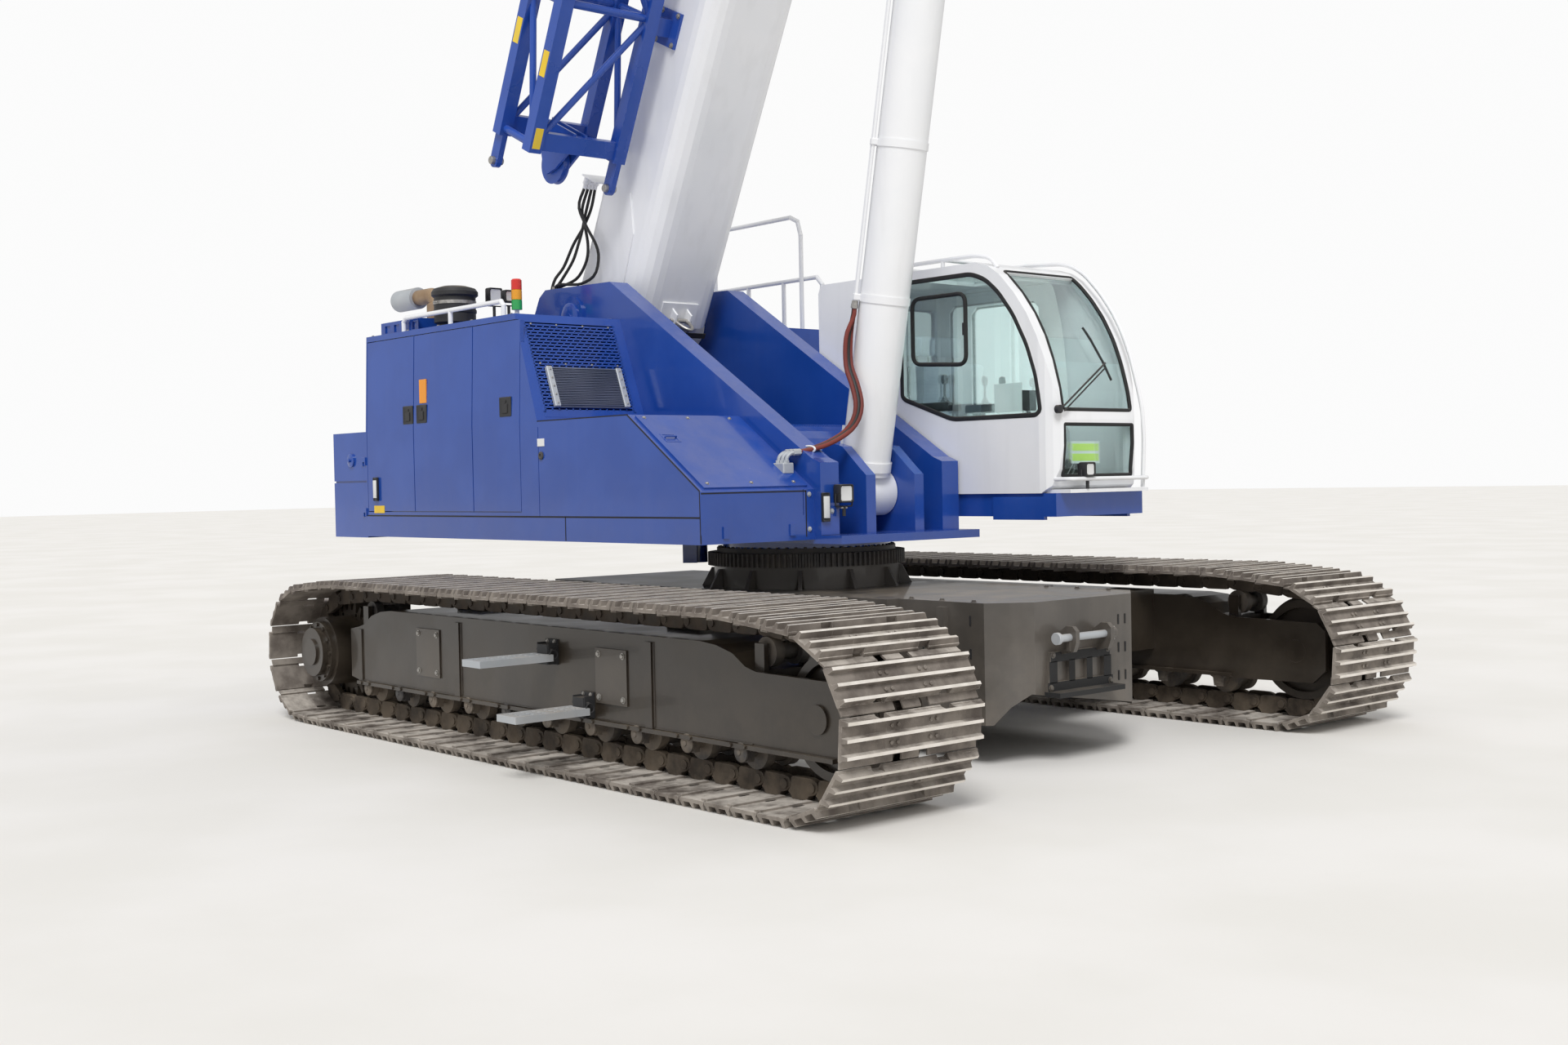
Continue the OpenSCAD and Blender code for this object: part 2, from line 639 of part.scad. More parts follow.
module slew_motor(z0) {
    pinion_r = 62;
    at = 222;
    reach = ring_r + pinion_r + 12;
    rotate(at) translate([reach, 0, 0]) {
        translate([0, 0, ring_base + 12]) cylinder(r = pinion_r, h = base_z - ring_base, $fn = 24);
        translate([0, 0, z0 - cut]) cylinder(r = 104, h = 160, $fn = 32);
        translate([0, 0, z0 + 150]) cylinder(r = 85, h = 260, $fn = 32);
        translate([pinion_r + clear, -110, ring_base + 12]) cube([18, 220, base_z - ring_base]);
        for (s = [-1, 1]) translate([-10, s * 101 - 9, ring_base + 12]) cube([pinion_r + clear + 20, 18,
            base_z - ring_base]);
    }
}

module deck() {
    y0 = -upper_y;
    back = hood_front(crease_z) + seat;
    flat_x = 60;
    wall = 60;
    skirt_t = 30;
    step_x = 1520;
    color(deep_blue) placed() {
        block(-hood_back, deck_x, y0, -hood_in, sill_z, door_z);
        difference() {
            across(y0, -hood_in) deck_outline(back, flat_x);
            across(y0 + wall, -hood_in - wall) offset(delta = -wall) deck_outline(back, flat_x);
            ahead(deck_x - 8, deck_x + cut) square_at(-hood_in - 90, -hood_in - 84, door_z, deck_front_z);
            across(y0 - cut, y0 + 6) square_at(back + 8, back + 14, door_z, crease_z - 40);
        }
        across(y0 + 40, -hood_in - 40) polygon(hatch_band(flat_x, 12));
        for (y = [y0 + 160, -hood_in - 200]) ahead(deck_x, deck_x + 10) square_at(y, y + 40, sill_z + 30,
            sill_z + 100);
        block(housing_front, cab_back - 80, hood_in, upper_y, sill_z, 1440);
        for (x = [cab_back - 80, 700]) block(x, x + 90, hood_in, upper_y, 1330, cab_z - seat);
        block(step_x, step_x + 100, carrier_y + 20, upper_y, 1330, cab_z - seat);
        for (y = [carrier_y + 40, upper_y - 120]) block(cab_back - 80, step_x, y, y + 80, 1330, cab_z - seat);
        for (y = [carrier_y + 20, upper_y - skirt_t]) block(step_x - 420, step_x + 1, y, y + skirt_t,
            1310, cab_z - seat - 20);
    }
}

// Side of the sloping deck ahead of the hood
module deck_outline(back, flat_x) {
    polygon([[back, door_z - cut], [deck_x, door_z - cut], [deck_x, deck_front_z], [flat_x, crease_z],
        [back, crease_z]]);
}

// Thin hatch lying on the sloping deck, from its flat top's edge to its front edge
function hatch_band(flat_x, t) = let(dx = deck_x - flat_x, dz = crease_z - deck_front_z, l = norm([dx, dz]),
    n = [dz / l * t, dx / l * t], a = [flat_x + 30 * dx / l, crease_z - 30 * dz / l],
    b = [deck_x - 25 * dx / l, deck_front_z + 25 * dz / l]) [a, b, b + n, a + n];

hood_rake = 21.3;
function hood_front(z) = -1220 + (hood_top - z) * tan(hood_rake);

// Columns: first x, last x of each door in the hood's side, behind the slew axis
hood_doors = [[-3290, -2580], [-2570, -1760], [-1750, -1150]];

module hood_outline() {
    polygon([[-hood_back, door_z], [hood_front(crease_z), door_z], [hood_front(crease_z), crease_z],
        [hood_front(hood_top), hood_top], [-hood_back, hood_top]]);
}

// Section of the hood across the machine, set in by k
module hood_section(k) {
    polygon([[-upper_y + k, door_z + k - (k > 0 ? 0 : cut)], [-hood_in - k, door_z + k - (k > 0 ? 0 : cut)],
        [-hood_in - k, hood_top - k + (k > 0 ? 0 : cut)], [-upper_y + hood_lean + k,
            hood_top - k + (k > 0 ? 0 : cut)],
        [-upper_y + k, crease_z]]);
}

module hood() {
    frame = 45;
    color(deep_blue) placed() {
        difference() {
            intersection() {
                across(-upper_y, -hood_in) hood_outline();
                ahead(-hood_back - cut, 0) hood_section(0);
            }
            intersection() {
                across(-upper_y, -hood_in) offset(delta = -panel_t) hood_outline();
                ahead(-hood_back, 0) hood_section(hood_skin);
            }
            ahead(hood_doors[0][0] - door_gap, hood_doors[2][1] + door_gap) polygon([[-upper_y - cut,
                door_z + 34],
                [-upper_y + panel_t + seat, door_z + 34], [-upper_y + panel_t + seat, crease_z],
                [-upper_y + panel_t + hood_lean + seat, hood_top - 40], [-upper_y - cut, hood_top - 40]]);
            for (d = hood_doors) across(-upper_y, -upper_y + hood_skin + hood_lean + 10)
                square_at(d[0] + frame, d[1] - frame, door_z + 90, hood_top - 90);
            across(-upper_y + 70, -hood_in - 60) polygon([[-1700, crease_z + 30], [-600, crease_z + 30],
                [-600, hood_top - 55],
                [-1700, hood_top - 55]]);
        }
        hood_roof();
    }
}

// Low box over the cooler fan, roof hatch rim and the cleaner's saddle
module hood_roof() {
    lip = 12;
    difference() {
        block(-hood_back + 20, -2720, -1330, -hood_in - 60, hood_top - cut, hood_top + fan_box_h);
        for (i = [0 : 3]) block(-hood_back + 80 + i * 140, -hood_back + 160 + i * 140, -1331, -1320,
            hood_top + 25, hood_top + 80);
    }
    for (x = [-2170, -1360]) block(x, x + 30, -1320, -hood_in - 40, hood_top - cut, hood_top + lip);
    for (y = [-1320, -hood_in - 70]) block(-2170, -1330, y, y + 30, hood_top - cut, hood_top + lip);
}

module hood_door(i) {
    z0 = door_z + 40;
    z1 = hood_top - 46;
    lean = hood_lean * (z1 - crease_z) / (hood_top - crease_z);
    x0 = hood_doors[i][0];
    x1 = hood_doors[i][1];
    latch_x = i == 1 ? x0 + 90 : (i == 0 ? x1 - 90 : x1 - 160);
    color(deep_blue) placed() difference() {
        ahead(x0, x1) polygon([[-upper_y, z0], [-upper_y + panel_t, z0], [-upper_y + panel_t, crease_z],
            [-upper_y + panel_t + lean, z1], [-upper_y + lean, z1], [-upper_y, crease_z]]);
        block(latch_x - 40, latch_x + 40, -upper_y - cut, -upper_y + 12, crease_z + 60, crease_z + 170);
    }
}

module grille() {
    rows = 15;
    columns = 7;
    t = 20;
    y0 = -upper_y + 70 + seat;
    y1 = -hood_in - 60 - seat;
    z0 = crease_z + 31;
    l = (hood_top - 64 - z0) / cos(hood_rake);
    cell_y = (y1 - y0 - 40) / columns;
    cell_z = (l - 40) / rows;
    guard = [y0 + 110, y1 - 150, 60, 340];
    color(dark_grey) placed() translate([hood_front(z0) - t, 0, z0]) rotate([0, -hood_rake, 0]) {
        difference() {
            ahead(0, t) square_at(y0, y1, t, l - cut);
            ahead(-cut, t + cut) for (r = [0 : rows - 1]) for (c = [0 : columns - 1])
                if (r % 2 == 0 || c < columns - 1) square_at(y0 + 24 + (c + (r % 2) / 2) * cell_y,
                    y0 + 16 + (c + 1 + (r % 2) / 2) * cell_y, 24 + r * cell_z, 12 + (r + 1) * cell_z);
        }
        ahead(t - cut, t + 22) difference() {
            square_at(guard[0], guard[1], guard[2], guard[3]);
            for (i = [0 : 11]) square_at(guard[0] + 24, guard[1] - 24, guard[2] + 20 + i * 20,
                guard[2] + 32 + i * 20);
        }
    }
}

module engine() {
    color(dark_grey) placed() block(-engine_back, -engine_back + engine_l, -upper_y + 140, -hood_in - 80,
        door_z + hood_skin + seat, engine_z);
}

module left_housing() {
    bevel = 90;
    wall = 40;
    color(deep_blue) placed() difference() {
        ahead(-hood_back, housing_front) polygon([[hood_in, sill_z], [upper_y, sill_z], [upper_y,
            hood_top - bevel],
            [upper_y - bevel, hood_top], [hood_in, hood_top]]);
        ahead(-hood_back + wall, housing_front - wall) polygon([[hood_in + wall, sill_z + wall],
            [upper_y - wall, sill_z + wall],
            [upper_y - wall, hood_top - bevel - wall], [upper_y - bevel - wall, hood_top - wall],
                [hood_in + wall, hood_top - wall]]);
        for (x = [-2620, -1900]) block(x, x + door_gap, upper_y - 12, upper_y + cut, door_z,
            hood_top - bevel - 40);
        for (z = [door_z, hood_top - bevel - 46]) block(-hood_back + 60, housing_front - 60,
            upper_y - 12, upper_y + cut, z, z + door_gap);
        for (i = [0 : 8]) for (x = [-3180, -2480]) block(x, x + 460, upper_y - wall - cut, upper_y + cut,
            2010 + i * 55, 2035 + i * 55);
    }
}

module counterweight() {
    bevel = 170;
    split_z = 1630;
    groove = 14;
    color(deep_blue) placed() {
        difference() {
            translate([0, 0, tail_z]) linear_extrude(tail_top - tail_z) tail_plan(0, bevel);
            translate([0, 0, split_z]) linear_extrude(groove) difference() {
                tail_plan(-cut, bevel);
                tail_plan(groove, bevel);
            }
            for (y = [-900, 900]) block(-tail_back - cut, -tail_back + 60, y - 130, y + 130,
                tail_z + 150, tail_z + 290);
        }
        for (y = [-900, 900]) difference() {
            ahead(-tail_back + 300, -tail_back + 340) polygon([[y - 110, tail_top - cut], [y + 110,
                tail_top - cut], [y + 70, tail_top + 130],
                [y - 70, tail_top + 130]]);
            translate([-tail_back + 300 - cut, y, tail_top + 75]) rotate([0, 90, 0]) cylinder(r = 32,
                h = 40 + 2 * cut, $fn = 32);
        }
    }
}

// Plan of the counterweight, set in by k
module tail_plan(k, bevel) {
    polygon([[-hood_back, -upper_y + k], [-tail_back + bevel, -upper_y + k], [-tail_back + k,
        -upper_y + bevel],
        [-tail_back + k, upper_y - bevel], [-tail_back + bevel, upper_y - k], [-hood_back, upper_y - k]]);
}

module air_cleaner() {
    // Columns: radius, height above the hood
    bowl = [[0, 0], [120, 0], [120, 40], [150, 55], [150, 120], [156, 125], [156, 145], [150, 150], [150,
        235], [168, 250],
        [168, 275], [150, 300], [90, 318], [0, 322]];
    color(dark_grey) placed() translate([-2500, -1150, hood_top]) rotate_extrude($fn = 48) polygon(bowl);
}

module exhaust() {
    pipe_r = 58;
    bend_r = 105;
    at = [-2900, -1060, hood_top + fan_box_h];
    rise = 95;
    color([0.7, 0.6, 0.5]) placed() translate(at) {
        cylinder(r = pipe_r + 22, h = 14, $fn = 32);
        cylinder(r = pipe_r, h = rise, $fn = 32);
        translate([-bend_r, 0, rise]) rotate([90, 0, 0]) rotate_extrude(angle = 90,
            $fn = 48) translate([bend_r, 0]) circle(r = pipe_r, $fn = 32);
        translate([-bend_r - 190, 0, rise + bend_r]) rotate([0, 90, 0]) difference() {
            cylinder(r = pipe_r, h = 190, $fn = 32);
            translate([0, 0, -cut]) cylinder(r = pipe_r - 6, h = 160, $fn = 32);
        }
    }
}

module handrails() {
    yr = -upper_y + 110;
    yl = upper_y - 150;
    low = 3140;
    high = 3620;
    hood_rail = 110;
    color(boom_white) placed() {
        tubing([[-2880, yr, hood_top], [-2880, yr, hood_top + hood_rail - 30], [-2850, yr,
            hood_top + hood_rail],
            [-1520, yr, hood_top + hood_rail], [-1490, yr, hood_top + hood_rail - 30], [-1490, yr,
                hood_top]], rail_r);
        strut([-2200, yr, hood_top], [-2200, yr, hood_top + hood_rail], rail_r);
        tubing([[-2600, yl, hood_top], [-2600, yl, low - 60], [-2540, yl, low], [-1310, yl, low], [-1250,
            yl, low - 60],
            [-1250, yl, hood_top]], rail_r);
        tubing([[-2480, yl - 60, hood_top], [-2480, yl - 60, high - 70], [-2410, yl - 60, high], [-1540,
            yl - 60, high],
            [-1455, yl - 60, high - 40], [-1420, yl - 60, high - 150], [-1420, yl - 60, hood_top]], rail_r);
        for (x = [-2130, -1700]) strut([x, yl, hood_top], [x, yl, low], rail_r);
    }
}

module tower_light() {
    // Columns: radius, height above the hood
    stack = [[0, 0], [45, 0], [45, 12], [16, 14], [16, 120], [38, 124], [38, 190], [35, 193], [38, 196],
        [38, 262], [35, 265],
        [38, 268], [38, 334], [30, 344], [0, 346]];
    color(light_grey) placed() translate([-2060, -900, hood_top]) rotate_extrude($fn = 32) polygon(stack);
}

module drum(x) {
    flange = 30;
    core_r = drum_r - 90;
    wraps = 18;
    rope = 22;
    end_y = carrier_in - 50;
    first = -wraps * rope / 2;
    // Half section of the drum with its rope wound on it
    half = concat([[0, -end_y], [core_r, -end_y], [core_r, first]],
        [for (i = [0 : wraps - 1]) for (p = [[rope, 0.2], [rope, 0.8], [0, 1]]) [core_r + p[0],
            first + (i + p[1]) * rope]],
        [[core_r, end_y], [0, end_y]]);
    color(dark_grey) placed() {
        for (y = [-end_y - flange, end_y]) rod_y(x, drum_z, drum_r, y, y + flange);
        translate([x, 0, drum_z]) rotate([-90, 0, 0]) rotate_extrude($fn = 48) polygon(half);
        rod_y(x, drum_z, drum_hub_r - seat, -carrier_y, carrier_y);
        for (s = [-1, 1]) rod_y(x, drum_z, drum_hub_r + 60, s > 0 ? end_y
            + flange - cut : -carrier_in + clear,
            s > 0 ? carrier_in - clear : -end_y - flange + cut);
    }
}

// Cab, modelled in place on the left

module cab_outline() {
    polygon([[cab_back, cab_z], [1500, cab_z], [1570, 1520], [1605, 1620], [1622, 1780], [1620, 1930],
        [1590, 2120],
        [1540, 2300], [1480, 2455], [1400, 2600], [1300, 2735], [1180, 2860], [1090, 2920], [980, cab_top],
        [cab_back + 60, cab_top], [cab_back + 18, cab_top - 18], [cab_back, cab_top - 60]]);
}

// Plan of the cab, set in by k, with rounded front corners
module cab_plan(k) {
    r = 150;
    polygon(concat([[cab_back - cut + k, upper_y - k], [cab_back - cut + k, cab_y + k]],
        arc(1640 - r - k, cab_y + r + k, r, -90, 0, 5), arc(1640 - r - k, upper_y - r - k, r, 0, 90, 5)));
}

module side_window() {
    polygon([[300, 2130], [330, 2105], [760, 1960], [1470, 1960], [1500, 1990], [1470, 2200], [1400,
        2400], [1290, 2600],
        [1170, 2750], [1060, 2840], [940, 2885], [340, 2885], [300, 2845]]);
}

module front_window() {
    polygon([[1380, 1990], [1800, 1990], [1800, 2900], [1180, 2900], [1060, 2780], [1200, 2600], [1330,
        2350]]);
}

module foot_window() {
    polygon([[1400, 1580], [1800, 1580], [1800, 1900], [1400, 1900]]);
}

module roof_window() {
    polygon([[330, cab_top - 200], [900, cab_top - 200], [900, cab_top + 50], [330, cab_top + 50]]);
}

module cab_shell() {
    rail_h = 30;
    color(boom_white) placed() {
        difference() {
            intersection() {
                across(cab_y, upper_y) cab_outline();
                translate([0, 0, cab_z - cut]) linear_extrude(cab_h + 2 * cut) cab_plan(0);
            }
            intersection() {
                across(cab_y, upper_y) offset(delta = -cab_t) cab_outline();
                translate([0, 0, cab_z]) linear_extrude(cab_h) cab_plan(cab_t);
            }
            across(cab_y - cut, cab_y + cab_t + cut) side_window();
            across(upper_y - cab_t - cut, upper_y + cut) square_at(60, 860, cab_z + 60, 2880);
            across(cab_y + front_in, upper_y - front_in) front_window();
            across(cab_y + front_in, upper_y - front_in) foot_window();
            across(cab_y + 150, upper_y - 150) roof_window();
            ahead(cab_back - cut, cab_back + cab_t + cut) square_at(cab_y + 110, upper_y - 110, 2150, 2830);
        }
        for (z = [door_top + clear, cab_z + clear]) block(door_x0 - cab_door_travel + 90, door_x1 + 20,
            upper_y - cut,
            upper_y + 44, z, z + rail_h);
        block(1480, 1700, cab_y + 40, upper_y - 40, cab_z, cab_z + 22);
    }
}

module cab_glass() {
    band = 18;
    color(glass_green) placed() {
        across(cab_y + band, cab_y + band + glass_t) offset(delta = -seat) side_window();
        across(cab_y + front_in + seat, upper_y - front_in - seat) intersection() {
            cab_skin(band);
            union() {
                offset(delta = -seat) front_window();
                offset(delta = -seat) foot_window();
            }
        }
        across(cab_y + 150 + seat, upper_y - 150 - seat) intersection() {
            cab_skin(band);
            offset(delta = -seat) roof_window();
        }
        ahead(cab_back + band, cab_back + band + glass_t)
            square_at(cab_y + 110 + seat, upper_y - 110 - seat, 2150 + seat, 2830 - seat);
    }
}

// Thin skin that follows the cab's outline, set in by k
module cab_skin(k) {
    difference() {
        offset(delta = -k) cab_outline();
        offset(delta = -k - glass_t) cab_outline();
    }
}

module cab_door() {
    t = 30;
    z0 = cab_z + 40;
    handle_z = 2050;
    color(boom_white) placed() {
        difference() {
            across(upper_y + seat, upper_y + t) square_at(door_x0, door_x1, z0, door_top);
            across(upper_y, upper_y + t + cut) door_pane(0);
            block(door_x0 + 90, door_x1 - 90, upper_y + t - 8, upper_y + t + cut, z0 + 60, 1740);
        }
        for (z = [handle_z, handle_z + 260]) rod_y(door_x0 + 60, z, 12, upper_y + t - cut, upper_y + t + 45);
        translate([door_x0 + 60, upper_y + t + 45, handle_z]) cylinder(r = 12, h = 260, $fn = 24);
    }
}

// Window of the cab door, set in by k
module door_pane(k) {
    polygon([[door_x0 + 110 + k, 1850 + k], [door_x0 + 160 + k, 1800 + k], [door_x1 - 160 - k, 1800 + k],
        [door_x1 - 110 - k, 1850 + k], [door_x1 - 110 - k, 2730 - k], [door_x1 - 160 - k, 2780 - k],
        [door_x0 + 160 + k, 2780 - k], [door_x0 + 110 + k, 2730 - k]]);
}

module door_glass() {
    color(glass_green) placed() across(upper_y + 12, upper_y + 12 + glass_t) door_pane(seat);
}

module cab_seat() {
    y0 = cab_y + 190;
    y1 = upper_y - 190;
    base = cab_z + cab_t;
    color(dark_grey) placed() {
        block(200, 600, y0 + 60, y1 - 60, base, base + 280);
        across(y0, y1) polygon([[160, base + 279], [600, base + 279], [660, base + 330], [650,
            base + 400], [590, base + 420],
            [230, base + 400], [190, base + 430], [120, base + 880], [90, base + 890], [40, base + 860],
                [130, base + 320]]);
        across(y0 + 110, y1 - 110) polygon([[80, base + 860], [120, base + 860], [110, base + 1040], [70,
            base + 1050], [30, base + 1030]]);
        for (y = [y0 - 90, y1 + 10]) {
            block(240, 600, y, y + 80, base + 500, base + 560);
            block(300, 380, y + 10, y + 70, base, base + 501);
            translate([560, y + 40, base + 559]) cylinder(r = 14, h = 120, $fn = 16);
            translate([560, y + 40, base + 670]) sphere(r = 26, $fn = 24);
        }
    }
}

// Boom, telescoping sections and what they carry

function boom_outline(w, h) = let(rt = 60, rb = w * 0.235) concat(
    arc(w / 2 - rt, h / 2 - rt, rt, 0, 90, 3), arc(-w / 2 + rt, h / 2 - rt, rt, 90, 180, 3),
    arc(-w / 2 + rb, -h / 2 + rb, rb, 180, 270, 5), arc(w / 2 - rb, -h / 2 + rb, rb, 270, 360, 5));

module tube(i, u0, u1) {
    w = boom_w - i * section_step;
    h = boom_h - i * section_step;
    translate([u0, 0, boom_v]) rotate([90, 0, 90]) linear_extrude(u1 - u0) difference() {
        polygon(boom_outline(w, h));
        polygon(boom_outline(w - 2 * boom_t, h - 2 * boom_t));
    }
}

// Wear pads inside a section's mouth, on which the next section runs
module mouth_pads(i, u1) {
    w = boom_w / 2 - i * section_step / 2 - boom_t;
    h = boom_h / 2 - i * section_step / 2 - boom_t;
    block(u1 - 190, u1 - 10, -95, 95, boom_v - h, boom_v - h + section_gap - seat);
    for (s = [-1, 1]) block(u1 - 190, u1 - 10, s > 0 ? w - section_gap + seat : -w,
        s > 0 ? w : -w + section_gap - seat,
        boom_v - 60, boom_v + 90);
}

// Wear pad on top of a section's rear end, which runs under the roof of the one around it
module rear_pad(i, u0) {
    h = boom_h / 2 - i * section_step / 2;
    block(u0 + 10, u0 + 190, -120, 120, boom_v + h, boom_v + h + section_gap - seat);
}

module boom_base() {
    ear_t = 60;
    ear_x = boom_w / 2;
    under = boom_v - boom_h / 2;
    color(boom_white) on_boom() {
        tube(0, 110, base_l);
        collar(0, base_l);
        mouth_pads(0, base_l);
        for (s = [-1, 1]) difference() {
            union() {
                across(s > 0 ? ear_x - ear_t : -ear_x, s > 0 ? ear_x : -ear_x + ear_t)
                    polygon(concat([[109, -230], [109, 300]], arc(0, 0, 200, 110, 250, 8)));
                rod_y(0, 0, 200, s > 0 ? ear_x - ear_t : -carrier_in + clear,
                    s > 0 ? carrier_in - clear : -ear_x + ear_t);
            }
            rod_y(0, 0, foot_pin_r, -carrier_y, carrier_y);
        }
        for (s = [-1, 1]) across(s > 0 ? ear_x - cut : -ear_x - 12, s > 0 ? ear_x + 12 : -ear_x + cut)
            polygon([[109, -200], [700, -150], [950, 0], [700, 150], [109, 230]]);
        for (s = [-1, 1]) difference() {
            across(s > 0 ? fork_in : -fork_in - fork_t, s > 0 ? fork_in + fork_t : -fork_in)
                polygon(concat([[eye_u - 700, under + 2], [eye_u + 900, under + 2]], arc(eye_u, eye_v,
                    160, 20, -200, 10)));
            rod_y(eye_u, eye_v, luff_pin_r + 5, -300, 300);
        }
        block(eye_u - 560, eye_u - 530, -fork_in - cut, fork_in + cut, under - 120, under + 2);
        block(eye_u + 600, eye_u + 630, -fork_in - cut, fork_in + cut, under - 100, under + 2);
        for (u = [180, 2600, 5400, 8200]) for (s = [-1, 1]) block(u, u + 30, s > 0 ? 150 : -190,
            s > 0 ? 190 : -150,
            boom_v + boom_h / 2 - cut, boom_v + boom_h / 2 + 70);
    }
}

// Stiffening collar round a section's mouth
module collar(i, u1) {
    w = boom_w - i * section_step;
    h = boom_h - i * section_step;
    t = 12;
    translate([u1 - 130, 0, boom_v]) rotate([90, 0, 90]) linear_extrude(100) difference() {
        polygon(boom_outline(w + 2 * t, h + 2 * t));
        polygon(boom_outline(w - cut, h - cut));
    }
}

// Rear end of section i, so that section_lap stays inside when it is out by its travel
function section_start(i) = base_l + (i - 1) * section_out - section_travel - section_lap;

module boom_section(i) {
    u0 = section_start(i);
    u1 = base_l + i * section_out;
    color(boom_white) on_boom() {
        tube(i, u0, u1);
        collar(i, u1);
        mouth_pads(i, u1);
        rear_pad(i, u0);
    }
}

module boom_tip() {
    tip_u = base_l + 4 * section_out;
    w = boom_w - 4 * section_step;
    cheek = 30;
    head = head_outline(tip_u);
    // Columns: sheave middle y, sheave width
    sheaves = [[-95, 50], [-15, 50], [65, 50]];
    color(boom_white) on_boom() {
        tube(4, section_start(4), tip_u);
        collar(4, tip_u);
        rear_pad(4, section_start(4));
        for (s = [-1, 1]) difference() {
            across(s > 0 ? w / 2 - cheek : -w / 2, s > 0 ? w / 2 : -w / 2 + cheek) polygon(head);
            rod_y(tip_u + 470, 70, jib_pin_r, -w / 2 - cut, w / 2 + cut);
        }
        rod_y(tip_u + 330, -200, 40, -w / 2 - 14, w / 2 + 14);
        rod_y(tip_u + 190, 170, 34, -w / 2 - 14, w / 2 + 14);
        rod_y(tip_u + 90, -255, 22, -w / 2, w / 2);
        block(tip_u - cut, tip_u + 20, -w / 2 + cheek - cut, w / 2 - cheek + cut, -150, 120);
        for (c = sheaves) sheave(tip_u + 330, -200, sheave_r, c[0], c[1]);
        sheave(tip_u + 190, 170, sheave_r - 90, -15, 50);
    }
}

// Side plate of the boom head
function head_outline(u) = concat([[u - 60, -200], [u, -270]], arc(u + 330, -200, 200, 235, 320, 5),
    [[u + 520, -150], [u + 520, 110]], arc(u + 200, 170, 160, 20, 110, 5), [[u, 240], [u - 60, 200]]);

// Grooved rope sheave about a pin along y
module sheave(u, v, r, y, w) {
    groove = 14;
    translate([u, y, v]) rotate([-90, 0, 0]) rotate_extrude($fn = 48) polygon([[0, -w / 2], [r, -w / 2],
        [r, -w / 2 + 3],
        [r - groove, -13], [r - groove, 13], [r, w / 2 - 3], [r, w / 2], [0, w / 2]]);
}

module jib() {
    u0 = 1150;
    y0 = -boom_w / 2 - 140 - jib_w;
    z0 = -40;
    half = chord / 2;
    bay = (jib_l - 2 * half) / jib_bays;
    ys = [y0 + half, y0 + jib_w - half];
    zs = [z0 + half, z0 + jib_h - half];
    lug = 190;
    color(deep_blue) on_boom() {
        for (y = ys) for (z = zs) translate([u0, y - half, z - half]) cube([jib_l, chord, chord]);
        for (i = [0 : jib_bays]) let(u = u0 + half + i * bay) {
            for (z = zs) strut([u, ys[0], z], [u, ys[1], z], lace_r + 4);
            for (y = ys) strut([u, y, zs[0]], [u, y, zs[1]], lace_r + 4);
        }
        for (i = [0 : jib_bays - 1]) let(a = u0 + half + i * bay, b = a + bay, even = i % 2 == 0) {
            for (z = zs) strut([even ? a : b, ys[0], z], [even ? b : a, ys[1], z], lace_r);
            for (y = ys) strut([even ? a : b, y, zs[0]], [even ? b : a, y, zs[1]], lace_r);
        }
        for (e = [[ys[0], zs[1], -1], [ys[1], zs[0], -1], [ys[0], zs[0], 1], [ys[1], zs[0], 1], [ys[0],
            zs[1], 1], [ys[1], zs[1], 1]])
            jib_lug(e[2] < 0 ? u0 + 1 : u0 + jib_l - 1, e[0], e[1], e[2], lug);
        jib_tip(u0, y0 + jib_w / 2, zs);
        for (u = [u0 + 900, u0 + 6600]) {
            translate([u, ys[1], z0 + 20]) cube([120, -boom_w / 2 - ys[1], 100]);
            translate([u - 60, -boom_w / 2 - 20, z0 - 60]) cube([240, 20, 260]);
        }
    }
}

// Pinned lug at a chord's end, pointing down the boom for dir < 0
module jib_lug(u, y, z, dir, l) {
    t = 40;
    r = chord / 2;
    difference() {
        across(y - t / 2, y + t / 2) polygon(dir < 0
            ? concat([[u, z - r], [u, z + r]], arc(u - l, z, r, 90, 270, 8))
            : concat([[u, z + r], [u, z - r]], arc(u + l, z, r, -90, 90, 8)));
        rod_y(u + dir * l, z, jib_pin_r, y - t, y + t);
    }
}

// Rope sheave in its fork at the jib's own tip
module jib_tip(u0, y, zs) {
    gap = 34;
    t = 20;
    r = 140;
    mid = (zs[0] + zs[1]) / 2;
    for (s = [-1, 1]) across(y + s * (gap + t / 2) - t / 2, y + s * (gap + t / 2) + t / 2)
        polygon([[u0 + 160, zs[0] - 20], [u0 + 160, zs[1] + 20], [u0 + 60, zs[1] + 20], [u0 - 120, mid + 90],
            [u0 - 190, mid], [u0 - 120, mid - 90], [u0 + 60, zs[0] - 20]]);
    for (z = zs) translate([u0 + 20, y - jib_w / 2 + chord / 2, z - 30]) cube([120, jib_w - chord, 60]);
    rod_y(u0 - 110, mid, 30, y - gap - t, y + gap + t);
    sheave(u0 - 110, mid, r, y, 50);
}

